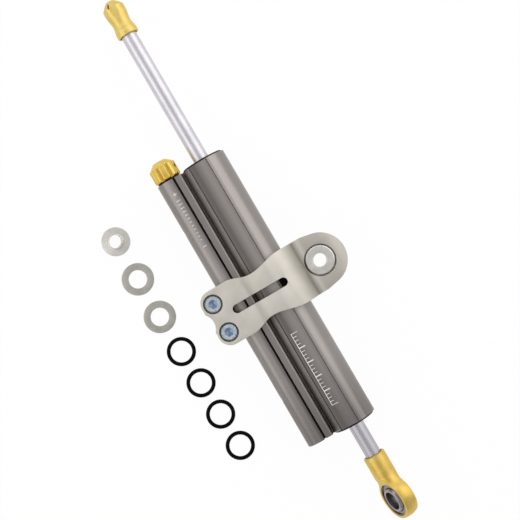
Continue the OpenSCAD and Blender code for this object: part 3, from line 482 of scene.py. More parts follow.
def turnedMetal(name, look):
    # lathe-turned metal: rings round the axis, tone that wanders a little, a sheen between them
    material, tree, shader, place = newFinish(name, {"Metallic": 1.0})
    rings = ringsAt(tree, place, look["pitch"], look.get("axis", "X"))
    clouds = grainAt(tree, place, look["cloudSize"])
    tone = twoTones(tree, rangeOf(tree, clouds, 0, 1), look)
    if "fluteShade" in look:
        # past a place along X, painted shade: darker where the flutes lie deeper than the round
        # surface
        middle, deep, flush, start, strength, fluteShadeTone = look["fluteShade"]
        off = addNode(tree, "ShaderNodeVectorMath", {
            "operation": "MULTIPLY_ADD", 1: (0, 1, 1), 2: (0, -middle * mm, 0)},
            {0: place}).outputs[0]
        out = addNode(tree, "ShaderNodeVectorMath", {"operation": "LENGTH"},
                      {0: off}).outputs["Value"]
        share = rangeOf(tree, out, strength, 0, deep * mm, flush * mm)
        past = calc(tree, "GREATER_THAN", axesOf(tree, place)[0], start * mm)
        tone = mixOn(tree, tone, calc(tree, "MULTIPLY", share, past), fluteShadeTone)
    dressShader(tree, shader, look, tone, clouds, rings)
    return material


def groundMetal(name, look):
    # ground, drawn or blasted metal: an even grain, finer or coarser, that the gloss follows
    material, tree, shader, place = newFinish(name, {"Metallic": 1.0})
    grain = grainAt(tree, place, look["grain"], look.get("stretch", (1, 1, 1)), 4)
    clouds = grainAt(tree, place, look["cloudSize"])
    tone = twoTones(tree, rangeOf(tree, clouds, 0, 1), look)
    tone = shadesOn(tree, place, tone, look.get("shades", ()))
    dressShader(tree, shader, look, tone, grain, grain)
    return material


def mouldedRubber(name, look):
    # moulded nitrile rubber or sealing plastic: dull, with the fine bloom of the mould
    material, tree, shader, place = newFinish(name, {"Metallic": 0.0, "IOR": look["ior"]})
    bloom = grainAt(tree, place, look["grain"], detail=4)
    tone = twoTones(tree, rangeOf(tree, bloom, 0, 1), look)
    dressShader(tree, shader, look, tone, bloom, bloom)
    return material



bodyPrintAndShade = {
    "tilt": 14.6, "flatHeight": 12.9, "scaleSpan": (30.0, 80.0),
    "tick": 2.5, "longEach": 4, "tickWidth": 0.35, "tickReach": (-3.2, -0.9, 0.9),
    "lineWidth": 0.4, "tubeTilt": 8.0, "tubeHeight": 5.0, "barSpan": (-76.0, -46.0),
    "barPitch": 2.5, "barWidth": 0.5, "barReach": (0.4, 1.0),
    "signBar": 0.28, "signArm": 1.2, "signGap": 3.2, "ink": "#F2F0EC", "cover": 0.7,
    # painted shade: the flat is darker on the tube's side
    "flatFrom": -7.0, "flatShade": (-3.0, 2.8), "flatTone": "#5F5A57",
}
finishes = {
    "greyExtrusion": anodisedExtrusion("grey anodised aluminium, extruded", {
        "dark": "#8D8783", "light": "#98928E", "lineWidth": 0.9, "lineRun": 400,
        "lineShare": 0.6, "cloudSize": 18, "cloudRun": 4, "rough": (0.36, 0.46), "depth": 0.004,
        # painted shadow under the clamp: its reach along X and its tone, then where it fades in
        # along Y
        "printAndShade": bodyPrintAndShade, "clampShadow": (14, "#151413"),
        "clampShadowFrom": ((-29.6, -28.2), (-59.8, -61.6)),
        "shades": (
            # painted highlights on the tube's crown, in the valley and beside the flat, painted
            # shade at the groove
            ("Y", -55.9, 2.6, 1.6, 0.5, "#B5AFAA"), ("Y", -52.4, 2.6, 0.7, 0.9, "#4A4643"),
            ("Y", -45.4, 1.3, 5.5, 0.6, "#CFC8C2"), ("Y", -26.0, 2.8, 3.6, 0.22, "#B5AFAA"),
            # painted shade, a little darker towards the front end
            ("X", 52, 92, 0.33, "#4A4643"))}),
    "blackAnodised": turnedMetal("black anodised aluminium, turned", {
        "dark": "#232325", "light": "#2C2C2E", "pitch": 0.3, "cloudSize": 5,
        "rough": (0.34, 0.42), "depth": 0.002}),
    "goldAnodised": turnedMetal("gold anodised aluminium, turned", {
        "dark": "#D2B157", "light": "#DFC26B", "pitch": 0.35, "cloudSize": 5,
        "rough": (0.42, 0.5), "depth": 0.003}),
    "paleGold": turnedMetal("pale gold anodised aluminium, turned", {
        "dark": "#DCC06C", "light": "#E4CA7A", "pitch": 0.35, "cloudSize": 6,
        "rough": (0.46, 0.54), "depth": 0.003}),
    "brightGold": turnedMetal("bright gold anodised aluminium, turned", {
        "dark": "#E0BE5C", "light": "#EACA6C", "pitch": 0.35, "cloudSize": 5,
        "rough": (0.38, 0.46), "depth": 0.003,
        # painted shade in the knob's flutes
        "fluteShade": (tubeY, 7.3, 8.4, -98.8, 0.85, "#AB8E3C")}),
    "blasted": groundMetal("bead-blasted aluminium, clear anodised", {
        "dark": "#CCC7BD", "light": "#D5D0C7", "grain": 0.32, "cloudSize": 14,
        "rough": (0.56, 0.68), "depth": 0.02,
        "shades": (
            ("Z", 6.6, 6.38, 1, "#BAB6AC"),  # the ear
            # painted shade in the creases on both sides of the crest, painted highlights on the
            # crest, the crease edge and the ear tip
            ("Y", -46.9, 3.2, 4.6, 0.28, "#6B665D"), ("Y", -10.3, 11.0, 0.9, 0.4, "#6B665D"),
            ("Y", -10.1, 2.4, 2.4, 0.62, "#6B665D"), ("Y", -28.5, 4.0, 6.0, 0.5, "#E8E3DA"),
            ("Y", -7.2, 1.8, 3.2, 0.34, "#E8E3DA"), ("Y", 15.0, 11.0, 30.0, 0.42, "#E8E3DA"))}),
    "turnedPale": turnedMetal("turned aluminium, clear anodised", {
        "dark": "#DBD8D0", "light": "#E2DFD8", "pitch": 0.25, "cloudSize": 4,
        "rough": (0.3, 0.4), "depth": 0.003, "axis": "Z"}),
    "turnedPlain": turnedMetal("turned aluminium, plain", {
        "dark": "#C3C5C7", "light": "#CFD1D3", "pitch": 0.3, "cloudSize": 5,
        "rough": (0.25, 0.35), "depth": 0.003}),
    "chrome": groundMetal("hard chrome, ground and polished", {
        "dark": "#CAC7CC", "light": "#D4D1D6", "grain": 0.8, "stretch": (30, 1, 1),
        "cloudSize": 12, "rough": (0.38, 0.46), "depth": 0.001,
        "shades": (("X", 86, 104, 1, "#B9B6BB"),)}),  # painted shade, darker ahead of the body
    "blueZinc": groundMetal("blue passivated zinc on steel", {
        "dark": "#B3C5D6", "light": "#E2E9EC", "grain": 0.5, "cloudSize": 1.4,
        "rough": (0.28, 0.4), "depth": 0.004,
        "shades": (("Z", 13.7, 13.2, 1, "#8298B4"),)}),  # painted shade, deeper blue in the sockets
    "raceSteel": turnedMetal("bearing steel, turned race", {
        "dark": "#7F7772", "light": "#8F8782", "pitch": 0.25, "cloudSize": 5,
        "rough": (0.25, 0.35), "depth": 0.002, "axis": "Z"}),
    "ballSteel": groundMetal("bearing steel, ground ball", {
        "dark": "#8D8582", "light": "#9F9794", "grain": 0.4, "stretch": (1, 1, 5),
        "cloudSize": 4, "rough": (0.16, 0.26), "depth": 0.001}),
    "springSteel": groundMetal("oiled spring steel, drawn", {
        "dark": "#6B6B6D", "light": "#7D7D7F", "grain": 0.3, "cloudSize": 3,
        "rough": (0.3, 0.4), "depth": 0.002}),
    "blackOxide": groundMetal("black oxide on steel", {
        "dark": "#252527", "light": "#303033", "grain": 0.3, "cloudSize": 2,
        "rough": (0.35, 0.5), "depth": 0.003}),
    "washerSteel": groundMetal("stainless steel, stamped and tumbled", {
        "dark": "#B0AEA6", "light": "#BCBAB2", "grain": 0.4, "cloudSize": 5,
        "rough": (0.4, 0.55), "depth": 0.006}),
    "nitrile": mouldedRubber("nitrile rubber, moulded", {
        "dark": "#040405", "light": "#080809", "grain": 0.5, "ior": 1.14,
        "rough": (0.5, 0.62), "depth": 0.006}),
    "sealPlastic": mouldedRubber("polyurethane, moulded", {
        "dark": "#2A557F", "light": "#33618D", "grain": 0.5, "ior": 1.5,
        "rough": (0.4, 0.5), "depth": 0.004}),
    "bronze": turnedMetal("bearing bronze, turned", {
        "dark": "#A8793F", "light": "#B8884C", "pitch": 0.3, "cloudSize": 4,
        "rough": (0.28, 0.38), "depth": 0.003}),
    "filledPlastic": mouldedRubber("bronze-filled fluoropolymer", {
        "dark": "#33302C", "light": "#403B36", "grain": 0.3, "ior": 1.38,
        "rough": (0.45, 0.55), "depth": 0.003}),
}
slotFinish = {
    "grey_anodised": "greyExtrusion", "black_anodised": "blackAnodised",
    "gold_anodised": "goldAnodised", "blasted_aluminium": "blasted",
    "spacer_aluminium": "turnedPale", "turned_aluminium": "turnedPlain",
    "hard_chrome": "chrome", "blue_zinc": "blueZinc", "race_steel": "raceSteel",
    "ball_steel": "ballSteel", "spring_steel": "springSteel", "black_oxide": "blackOxide",
    "washer_steel": "washerSteel", "nitrile_rubber": "nitrile", "polyurethane": "sealPlastic",
    "bearing_bronze": "bronze", "filled_ptfe": "filledPlastic",
}
slotOf = {part["node"]: part["material_slot"] for part in frame["record"]["subparts"]}
# where one node looks unlike the rest of its slot
nodeFinish = {"rod_end_snap_ring": "springSteel"}
for node, shown in cadNodes.items():
    for holder in shown.material_slots:
        holder.material = finishes[nodeFinish.get(node, slotFinish[slotOf[node]])]
report("finishes")


# Body: main cylinder and side tube in one extrusion, with a strip, a groove and a long flat

bodyForm = {
    "ends": (-88.5, 96.0), "mainRadius": 14.5, "sideRadius": 8.5, "webHalf": 4.0,
    "strip": (3.65, 8.4, 7.9),  # near edge and far edge from the side tube, height
    "groove": (1.35, 1.9, 1.5), "flatDepth": 1.3, "flatTilt": 14.6,
    "valley": (1.5, 1.1), "stripEdges": (1.5, 0.3),
    "fineLine": (0.6, 0.6), "thinLine": (0.45, 0.45), "bore": 11.0, "sideBore": 5.0,
    "ports": (-55.25, 62.75), "portRadius": 2.1, "edge": 0.35, "past": 3,
}


def makeBody():
    form = bodyForm
    back, front = form["ends"]
    radius, sideRadius, web = form["mainRadius"], form["sideRadius"], form["webHalf"]
    piece = addRod("body", radius, (back, rodY, 0), (front, rodY, 0), 180)
    near, far, top = form["strip"]
    for part in (
            addRod("side", sideRadius, (back, tubeY, 0), (front, tubeY, 0), 128),
            addBlock("web", (back, tubeY, -web), (front, rodY, web)),
            addBlock("strip", (back, tubeY + near, -top), (front, tubeY + far, top))):
        combine(piece, part, "UNION")
    wide, deep, grooveFoot = form["groove"]
    valleyWide, valleyDeep = form["valley"]
    past = form["past"]
    start, end = back - past, front + past
    flatAt = radius - form["flatDepth"]
    flatHalf = math.sqrt(radius ** 2 - flatAt ** 2)
    lineWide, lineDeep = form["fineLine"]
    thinWide, thinDeep = form["thinLine"]
    grooveFloor = top - deep
    for side in (1, -1):
        # the groove with its blunt foot, and the valley beside the main cylinder
        for add, fromY, toY, floor, ceiling in (
                (addBlock, near - wide, near, grooveFloor, top + past),
                (addTrough, near - wide, near, grooveFloor - grooveFoot, grooveFloor + lap),
                (addTrough, far, far + valleyWide, web - valleyDeep, web + lap)):
            low, high = sorted((side * floor, side * ceiling))
            corners = (start, tubeY + fromY, low), (end, tubeY + toY, high)
            sides = (side,) if add is addTrough else ()
            cutOut(piece, add("cut", *corners, *sides))
        # the flat and the lines along its edges, round the main axis
        for add, fromY, toY, floor, ceiling in (
                (addBlock, -radius, radius, flatAt, flatAt + past),
                (addTrough, flatHalf - lineWide / 2, flatHalf + lineWide / 2,
                 flatAt - lineDeep, flatAt + lap),
                (addTrough, -flatHalf - thinWide / 2, -flatHalf + thinWide / 2,
                 flatAt - thinDeep, flatAt + lap)):
            low, high = sorted((side * floor, side * ceiling))
            sides = (side,) if add is addTrough else ()
            tool = add("cut", (start, fromY, low), (end, toY, high), *sides)
            tool.rotation_euler = (math.radians(side * form["flatTilt"]), 0, 0)
            tool.location = (0, rodY * mm, 0)
            settle(tool)
            cutOut(piece, tool)
    cutOut(
        piece,
        addRod("bore", form["bore"], (start, rodY, 0), (end, rodY, 0), 128),
        addRod("sideBore", form["sideBore"], (start, tubeY, 0), (end, tubeY, 0), 64))
    for at in form["ports"]:
        cutOut(piece, addRod(
            "port", form["portRadius"], (at, tubeY - sideRadius - past, 0), (at, tubeY, 0), 48))
    faceOutwards(piece)
    for y, width in zip((far, near), form["stripEdges"]):
        roundPicked(
            piece,
            lambda edge: all(
                abs(v.co.y - (tubeY + y) * mm) < samePlace
                and abs(abs(v.co.z) - top * mm) < samePlace for v in edge.verts),
            width, 4)
    ends = {round(back * mm, 6), round(front * mm, 6)}
    roundPicked(
        piece,
        lambda edge: isSharp(edge, 40) and all(round(v.co.x, 6) in ends for v in edge.verts),
        form["edge"], 3)
    finishPiece(piece, "bodyExtrusion", "damper_body", "greyExtrusion", "cylinder_body", 25)


makeBody()
report("body")


# Rod, and what is screwed on its ends

rodForm = {"ends": (-190.98, 132.08), "radius": 5.0, "edge": 0.4}
capForm = {
    "mouth": -179.0, "tip": -202.7, "bore": 5.02, "tipRadius": 2.8, "headRadius": 6.9,
    "waistRadius": 6.0, "collarRadius": 7.0, "nose": 4.6, "head": 3.45, "collar": 2.0,
    "waistAt": 8.4, "flats": 6.45, "flatsEnd": 4, "edge": 0.3, "clear": 9,
    "boreDeep": 12, "mouthBore": (5.95, 1.6), "chamfer": 0.3, "steps": 8,
    # share of the nose's length from the head, share of the head's radius
    "noseCurve": ((0.12, 0.955), (0.55, 0.70), (0.85, 0.50)),
    "tipEdge": ((0.15, 0.1), (0, -0.3)),  # place from the tip, change of its radius
    # radius, stretch, depth, place, direction
    "hole": (0.6, 3.3, 3.0, (3.9, -1.2, 3.8), (-0.05, -0.45, 0.89)),
}
eyeForm = {
    "mouth": 120.1, "centre": 150.7, "shankRadius": 7.05, "headRadius": 13.3, "neckRadius": 12.0,
    "halfWidth": 4.3, "flatReach": 10.7, "runOut": 8.0, "pocket": 11.02, "raceHalf": 3.5,
    "lip": 0.7, "ring": (3.54, 0.52, 0.4), "bore": 5.02, "boreDeep": 12, "mouthBore": (5.8, 1.6),
    "chamfer": 0.5, "turn": 65.0, "edge": 0.35, "step": 3, "clear": 9,
}


def makeRod():
    form = rodForm
    back, front = form["ends"]
    piece = turnOnLathe("rod", [
        (back, form["radius"] - form["edge"]), (back + form["edge"], form["radius"]),
        (front - form["edge"], form["radius"]), (front, form["radius"] - form["edge"])], 128)
    placeAlongX(piece, rodY)
    finishPiece(piece, "chromedRod", "rod", "chrome", "damper_rod")


def waistProfile(form):
    # from the mouth to the tip: a collar, a soft waist, a head and a rounded nose
    mouth, tip = form["mouth"], form["tip"]
    headFrom = tip + form["nose"] + form["head"]
    waistAt = mouth - form["waistAt"]
    chamfer, steps = form["chamfer"], form["steps"]
    profile = [(mouth, form["collarRadius"] - chamfer), (mouth - chamfer, form["collarRadius"])]

    def blend(fromX, toX, fromR, toR):
        for i in range(1, steps + 1):
            share = (1 - math.cos(math.pi * i / steps)) / 2
            profile.append((fromX + (toX - fromX) * i / steps, fromR + (toR - fromR) * share))

    profile.append((mouth - form["collar"], form["collarRadius"]))
    blend(mouth - form["collar"], waistAt, form["collarRadius"], form["waistRadius"])
    blend(waistAt, headFrom, form["waistRadius"], form["headRadius"])
    profile.append((tip + form["nose"], form["headRadius"]))
    for share, radius in form["noseCurve"]:
        profile.append((tip + form["nose"] * (1 - share), form["headRadius"] * radius))
    for off, change in form["tipEdge"]:
        profile.append((tip + off, form["tipRadius"] + change))
    return profile


def makeCap():
    form = capForm
    piece = turnOnLathe("cap", waistProfile(form)[::-1], 96)
    placeAlongX(piece, rodY)
    mouth, tip = form["mouth"], form["tip"]
    past, clear, flatsEnd = 2, form["clear"], mouth - form["flatsEnd"]
    for side in (1, -1):
        low, high = sorted((side * form["flats"], side * clear))
        cutOut(piece, addBlock(
            "flat", (tip - past, rodY - clear, low), (flatsEnd, rodY + clear, high)))
    for radius, depth in ((form["bore"], form["boreDeep"]), form["mouthBore"]):
        cutOut(piece, addRod(
            "bore", radius, (mouth - depth, rodY, 0), (mouth + past, rodY, 0), 96))
    radius, stretch, deep, place, out = form["hole"]
    place = Vector(place) + Vector((tip, rodY, 0))
    out = Vector(out).normalized()
    hole = addRod("hole", radius, place - out * deep, place + out * 5, 48)
    hole.scale = (stretch, 1, 1)
    hole.location = (place.x * mm * (1 - stretch), 0, 0)
    settle(hole)
    cutOut(piece, hole)
    faceOutwards(piece)
    roundPicked(piece, lambda edge: isSharp(edge, 28), form["edge"], 2)
    finishPiece(piece, "goldEndCap", "rod", "paleGold", "end_cap", 22)


def makeEye():
    form = eyeForm
    mouth, centre = form["mouth"], form["centre"]
    shank, head, neck = form["shankRadius"], form["headRadius"], form["neckRadius"]
    reach = math.sqrt((head + neck) ** 2 - (shank + neck) ** 2)
    touch = math.degrees(math.atan2(shank + neck, reach))
    profile = [(mouth, shank - form["chamfer"]), (mouth + form["chamfer"], shank)]
    angle = -90.0
    while angle < -touch:
        a = math.radians(angle)
        profile.append((centre - reach + neck * math.cos(a), shank + neck + neck * math.sin(a)))
        angle += form["step"]
    angle = 180.0 - touch
    while angle > form["step"]:
        a = math.radians(angle)
        profile.append((centre + head * math.cos(a), head * math.sin(a)))
        angle -= form["step"]
    profile.append((centre + head, 0.2))
    piece = turnOnLathe("eye", profile, 128)
    placeAlongX(piece, 0)
    past, clear = 3, form["clear"]
    half, far = form["halfWidth"], head + past
    startX = centre - form["flatReach"]
    for side in (1, -1):
        low, high = sorted((side * half, side * far))
        cutOut(piece, addBlock("flat", (startX, -far, low), (centre + far, far, high)))
        z = side * (half + form["runOut"])
        cutOut(piece, addRod("runOut", form["runOut"], (startX, -far, z), (startX, far, z), 96))
    ringAt, ringHigh, ringWide = form["ring"]
    for radius, depth in (form["mouthBore"], (form["bore"], form["boreDeep"])):
        cutOut(piece, addRod("bore", radius, (mouth - past, 0, 0), (mouth + depth, 0, 0), 96))
    pocket = form["pocket"]
    for radius, low, high in (
            (pocket, -form["raceHalf"] - lap, clear), (pocket - form["lip"], -clear, 0),
            (pocket + ringWide, ringAt, ringAt + ringHigh)):
        cutOut(piece, addRod("pocket", radius, (centre, 0, low), (centre, 0, high), 128))
    faceOutwards(piece)
    axis = Vector((centre * mm, 0, 0))

    def outer(edge):
        middle = (edge.verts[0].co + edge.verts[1].co) / 2
        inPocket = (middle - axis).xy.length < (pocket + 0.6) * mm
        atFace = abs(abs(middle.z) - half * mm) < samePlace
        return isSharp(edge, 30) and (not inPocket or atFace)

    roundPicked(piece, outer, form["edge"], 3)
    piece.rotation_euler = (math.radians(form["turn"]), 0, 0)
    piece.location = (0, rodY * mm, 0)
    settle(piece)
    finishPiece(piece, "goldRodEnd", "rod", "goldAnodised", "rod_end", 24)


makeRod()
makeCap()
makeEye()
report("rod, cap and rod end")


# Frame clamp: the solid's outline with its outer edges broken

screwPlaces = ((-9.7, -70.05), (9.7, -70.05))
screwSeat = 8.2
clampForm = {
    "edge": 0.55, "bodyClear": 15.2, "tubeClear": 9.3, "earClear": 9.9, "slitClear": 1.4,
    "counterbore": 6.0, "top": 20,
}


def makeClamp():
    form = clampForm
    piece = copyOfNode("frame_clamp", "clamp")
    for x, y in screwPlaces:
        cutOut(piece, addRod(
            "counterbore", form["counterbore"], (x, y, screwSeat), (x, y, form["top"]), 96))
    faceOutwards(piece)

    def outer(edge):
        # sharp, and not in the bores of the body and ear, between them or in the slit
        if not isSharp(edge, 34):
            return False
        for vert in edge.verts:
            x, y, z = [c / mm for c in vert.co]
            if (math.hypot(y - rodY, z) < form["bodyClear"]
                    or math.hypot(y - tubeY, z) < form["tubeClear"]
                    or abs(z) < form["tubeClear"] and tubeY < y < rodY + 1
                    or math.hypot(x, y) < form["earClear"]
                    or abs(z) < form["slitClear"] and y < tubeY):
                return False
        return True

    roundPicked(piece, outer, form["edge"], 3)
    finishPiece(piece, "blastedClamp", "damper_body", "blasted", "frame_clamp", 24)


screwForm = {
    # height over the seat and radius, from the tip to the top of the head
    "profile": (
        (-22.0, 2.5), (-21.5, 3.0), (-0.4, 3.0), (0, 3.3), (0, 4.8), (0.2, 5.0), (4.95, 5.0),
        (5.45, 4.925), (5.88, 4.45), (6.0, 4.3)),
    "radius": 5.0, "knurl": 0.985, "sides": 96, "key": 2.5, "socket": (3.0, 8.0),
    "drill": ((1.7, 0.1), (3.01, 2.4)), "mouth": ((5.7, 2.5), (6.6, 3.4)),
}


def makeScrews():
    form = screwForm
    radius, knurl = form["radius"], form["knurl"]
    piece = turnOnLathe("screw", form["profile"], form["sides"])
    step = 2 * math.pi / form["sides"]

    def knurled(edge):
        # every second long edge down the side of the head
        a, b = [v.co for v in edge.verts]
        return (abs(a.z - b.z) > 2 * mm and min(a.z, b.z) > 0
                and all(abs(v.xy.length - radius * mm) < samePlace for v in (a, b))
                and round(math.atan2(a.y, a.x) / step) % 2 == 0)

    if pick(piece, "EDGE", knurled):
        bpy.ops.transform.resize(value=(knurl, knurl, 1), center_override=(0, 0, 0))
    putDown()
    low, high = form["socket"]
    cornerRadius = form["key"] / math.cos(math.radians(30))
    cutOut(piece, addRod("socket", cornerRadius, (0, 0, low), (0, 0, high), 6))
    for name in ("drill", "mouth"):
        cone = turnOnLathe(name, form[name], 48)
        closeEnds(cone)
        cutOut(piece, cone)
    faceOutwards(piece)
    pair = spread(piece, *[(x, y, screwSeat) for x, y in screwPlaces])
    for number, one in enumerate(pair, 1):
        finishPiece(one, "socketScrew%d" % number, "damper_body", "blueZinc", "clamp_screws", 30)


makeClamp()
makeScrews()
report("clamp and screws")


# Spacers, washers and O-rings

spacerForm = {
    "bore": 4.2, "sleeve": 4.97, "sleeveLong": 8.9, "flange": 9.25, "flangeThick": 2.0,
    "chamfer": 0.7, "edge": 0.2, "fitted": (0, 0, 4.52), "loose": (-74.4, -104.65, -17.4),
}
washerForm = {"outer": 10.3, "hole": 5.8, "thick": 1.0, "edge": 0.22,
              "places": ((-46.9, -104.65, floorZ), (-19.4, -104.65, floorZ))}
ringForm = {
    "middle": 8.025, "cord": 1.225, "flash": (0.07, 0.04), "sides": 128, "cordSides": 32,
    "places": ((6.4, -103.9), (29.7, -103.15), (53.0, -102.4), (76.3, -101.65)),
}


def makeSpacers():
    form = spacerForm
    top, bottom = form["flangeThick"], -form["sleeveLong"]
    piece = turnOnLathe("spacer", [
        (bottom, form["bore"]), (bottom, form["sleeve"]), (0, form["sleeve"]),
        (0, form["flange"]), (top - form["chamfer"], form["flange"]),
        (top, form["flange"] - form["chamfer"]), (top, form["bore"]), (bottom, form["bore"])], 128)
    roundEdges(piece, form["edge"])
    fitted, spare = spread(piece, (0, 0, 0), (0, 0, 0))
    fitted.location = Vector(form["fitted"]) * mm
    settle(fitted)
    finishPiece(fitted, "fittedSpacer", "bolt_spacer", "turnedPale", "clamp_spacer")
    spare.rotation_euler = (math.pi, 0, 0)
    spare.location = Vector(form["loose"]) * mm
    settle(spare)
    finishPiece(spare, "spareSpacer", "spare_spacer", "turnedPale", "loose_spacer")


def makeWashers():
    form = washerForm
    piece = turnOnLathe("washer", [
        (0, form["hole"]), (0, form["outer"]), (form["thick"], form["outer"]),
        (form["thick"], form["hole"]), (0, form["hole"])], 128)
    roundEdges(piece, form["edge"])
    for number, one in enumerate(spread(piece, *form["places"]), 1):
        finishPiece(one, "washer%d" % number, "spare_washers", "washerSteel", "loose_washers")


def makeRings():
    form = ringForm
    putDown()
    bpy.ops.mesh.primitive_torus_add(
        major_radius=form["middle"] * mm, minor_radius=form["cord"] * mm,
        major_segments=form["sides"], minor_segments=form["cordSides"])
    piece = bpy.context.object
    # the mould's parting line stands a little proud round the outside
    reach = (form["middle"] + form["cord"]) * mm
    wide, proud = [v * mm for v in form["flash"]]

    def outermost(edge):
        return all(v.co.xy.length > reach - samePlace and abs(v.co.z) < samePlace
                   for v in edge.verts)

    pick(piece, "EDGE", outermost)
    bpy.ops.mesh.bevel(offset=wide, segments=2, affect="EDGES")
    putDown()
    pick(piece, "EDGE", outermost)
    grow = 1 + proud / reach
    bpy.ops.transform.resize(value=(grow, grow, 1), center_override=(0, 0, 0))
    putDown()
    places = [(x, y, floorZ + form["cord"]) for x, y in form["places"]]
    for number, one in enumerate(spread(piece, *places), 1):
        finishPiece(one, "oRing%d" % number, "spare_o_rings", "nitrile", "loose_o_rings", 40)


makeSpacers()
makeWashers()
makeRings()
report("spacers, washers and O-rings")


# Adjuster knob

knobForm = {
    "top": -102.1, "base": -89.6, "radius": 8.55, "topRadius": 4.3, "slope": 3.6,
    "flutes": 8, "fluteRadius": 1.3, "fluteDeep": 1.25, "spindle": 2.52, "cover": 2.5, "edge": 0.3,
    "foot": ((0.9, 0), (0.35, 0.3), (0, 0.8)),  # place above the base, step in from the radius
    "grub": (5.6, 1.5, 67.5, 3, 12),  # place above the base, radius, turn, inner and outer end
}


def makeKnob():
    form = knobForm
    top, base, radius = form["top"], form["base"], form["radius"]
    slope, flat = form["slope"], form["topRadius"]
    piece = turnOnLathe("knob", [(top, flat), (top + slope, radius)] + [
        (base - up, radius - step) for up, step in form["foot"]], 128)
    placeAlongX(piece, tubeY)
    past = 2
    out = radius + form["fluteRadius"] - form["fluteDeep"]
    for number in range(form["flutes"]):
        a = math.radians((number + 0.5) * 360 / form["flutes"])
        y, z = tubeY - out * math.sin(a), out * math.cos(a)
        cutOut(piece, addRod(
            "flute", form["fluteRadius"], (top - past, y, z), (base + past, y, z), 40))
    up, grubRadius, turn, *reaches = form["grub"]
    a = math.radians(turn)
    cutOut(piece, addRod("grubHole", grubRadius, *[
        (base - up, tubeY + reach * math.sin(a), reach * math.cos(a)) for reach in reaches], 48))
    ends = (top + form["cover"], tubeY, 0), (base + past, tubeY, 0)
    cutOut(piece, addRod("spindleHole", form["spindle"], *ends, 64))
    faceOutwards(piece)
    roundPicked(piece, lambda edge: isSharp(edge, 30), form["edge"], 2)
    finishPiece(piece, "goldKnob", "knob", "brightGold", "adjuster_knob", 26)


makeKnob()
report("knob")


# Bearings and black flanges: the solids' shapes with their edges broken

edgedNodes = {  # piece, body, finish, edge in mm
    "rod_end_ball": ("eyeBall", "eye_ball", "ballSteel", 0.3),
    "rod_end_race": ("eyeRace", "rod", "raceSteel", 0.15),
    "clamp_ball": ("earBall", "ear_ball", "ballSteel", 0.25),
    "upper_gland": ("backGland", "damper_body", "blackAnodised", 0.12),
    "lower_gland": ("frontGland", "damper_body", "blackAnodised", 0.12),
    "adjuster_housing": ("adjusterRim", "damper_body", "blackAnodised", 0.1),
    "reservoir_plug": ("tubePlug", "damper_body", "blackAnodised", 0.15),
}
# the faces of the rod end's bearing that look towards its axis have another finish
linings = {"rod_end_ball": "springSteel", "rod_end_race": "filledPlastic"}
eyeCentre = Vector((eyeForm["centre"] * mm, rodY * mm, 0))
eyeAxis = Matrix.Rotation(math.radians(eyeForm["turn"]), 3, "X") @ Vector((0, 0, 1))


def looksInwards(face):
    out = face.calc_center_median() - eyeCentre
    out -= eyeAxis * out.dot(eyeAxis)
    return out.length > 0 and face.normal.dot(out.normalized()) < -0.5


def lineInside(piece, finish):
    piece.data.materials.append(finishes[finish])
    pick(piece, "FACE", looksInwards)
    piece.active_material_index = len(piece.data.materials) - 1
    bpy.ops.object.material_slot_assign()
    putDown()


for node, (name, body, finish, edge) in edgedNodes.items():
    piece = copyOfNode(node, name)
    roundPicked(piece, lambda e: isSharp(e, 35), edge, 2)
    finishPiece(piece, name, body, finish, node, 30)
    if node in linings:
        lineInside(piece, linings[node])
report("bearings and flanges")


# Reservoir spring: round wire wound by a screw, in place of the six-sided solid

springForm = {
    "bodies": ("floating_piston", "damper_body"),  # at its start and at its end
    "ends": (75.51, 87.07), "coil": 4.1, "wire": 0.44, "turns": 4, "wireSides": 12, "turnSteps": 36,
}


def makeSpring():
    form = springForm
    start, end = form["ends"]
    putDown()
    bpy.ops.mesh.primitive_circle_add(
        vertices=form["wireSides"], radius=form["wire"] * mm, fill_type="NOTHING",
        rotation=(math.pi / 2, 0, 0), location=(form["coil"] * mm, 0, 0))
    piece = bpy.context.object
    settle(piece)
    wind = piece.modifiers.new("wind", "SCREW")
    wind.axis = "Z"
    wind.angle = 2 * math.pi
    wind.iterations = form["turns"]
    wind.screw_offset = (end - start) * mm / form["turns"]
    wind.steps = wind.render_steps = form["turnSteps"]
    wind.use_merge_vertices = True
    bpy.ops.object.modifier_apply(modifier=wind.name)
    bpy.ops.object.mode_set(mode="EDIT")
    bpy.ops.mesh.select_mode(type="EDGE")
    bpy.ops.mesh.select_all(action="DESELECT")
    bpy.ops.mesh.select_non_manifold()
    bpy.ops.mesh.edge_face_add()
    faceOutwards(piece)
    placeAlongX(piece, tubeY)
    piece.location = (start * mm, 0, 0)
    settle(piece)
    finishPiece(piece, "tubeSpring", None, "springSteel", "reservoir_spring", 60)
    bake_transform(piece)


makeSpring()
report("springs")


# Studio

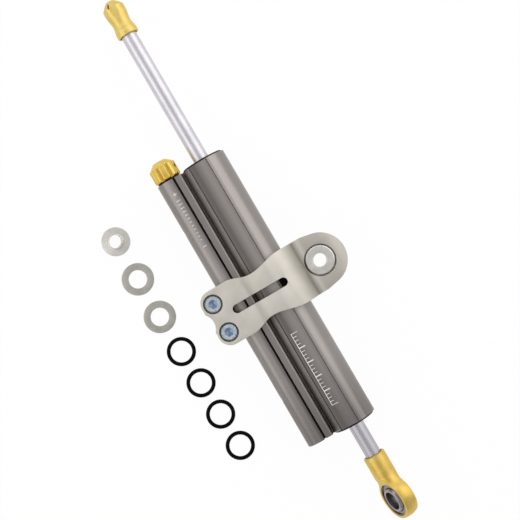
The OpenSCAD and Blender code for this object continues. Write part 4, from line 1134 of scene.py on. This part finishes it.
def makeStudio():
    world = bpy.data.worlds.new("studio")
    bpy.context.scene.world = world
    world.use_nodes = True
    ground = world.node_tree.nodes["Background"]
    ground.inputs["Color"].default_value = toLinear(studio["worldTone"])
    ground.inputs["Strength"].default_value = studio["worldStrength"]

    putDown()
    bpy.ops.mesh.primitive_circle_add(
        vertices=96, radius=studio["floorRadius"], fill_type="NGON",
        location=(*studio["floorMiddle"], floorZ * mm))
    floor = bpy.context.object
    floor.name = "floor"
    settle(floor)
    paper = bpy.data.materials.new("white paper, matt")
    paper.use_nodes = True
    tree = paper.node_tree
    shader = tree.nodes["Principled BSDF"]
    shader.inputs["Base Color"].default_value = toLinear(studio["floorTone"])
    shader.inputs["Roughness"].default_value = 0.9
    rays = addNode(tree, "ShaderNodeLightPath").outputs
    seen = calc(tree, "MAXIMUM", rays["Is Camera Ray"], rays["Is Glossy Ray"])
    seen = calc(tree, "MAXIMUM", seen, rays["Is Transmission Ray"])
    share = calc(tree, "MULTIPLY", seen, studio["floorShows"])
    glow = addNode(tree, "ShaderNodeEmission", {"Strength": 1.0}).outputs[0]
    mixed = addNode(tree, "ShaderNodeMixShader", {}, {
        0: share, 1: shader.outputs[0], 2: glow}).outputs[0]
    tree.links.new(mixed, tree.nodes["Material Output"].inputs["Surface"])
    floor.data.materials.append(paper)

    for name, values in studio["softboxes"].items():
        angle, heading, middleX, away, *size, radiance = values
        tilt, turn = math.radians(angle), math.radians(heading)
        place = Vector((0, away * math.sin(tilt), away * math.cos(tilt)))
        place.rotate(Matrix.Rotation(turn, 3, "Z"))
        putDown()
        bpy.ops.object.light_add(
            type="AREA", rotation=(-tilt, 0, turn),
            location=place + Vector((middleX, rodY * mm, 0)))
        box = bpy.context.object
        box.name = name
        box.data.shape = "RECTANGLE"
        box.data.size, box.data.size_y = size
        box.data.energy = radiance * math.pi * size[0] * size[1]

    putDown()
    bpy.ops.object.camera_add(
        location=camera["place"], rotation=(0, 0, math.radians(camera["turn"])))
    view = bpy.context.object
    view.data.lens = camera["lens"]
    view.data.clip_start = camera["nearest"]
    bpy.context.scene.camera = view
    bpy.context.scene.view_settings.view_transform = "Standard"


makeStudio()
report("studio")

bpy.context.view_layer.update()
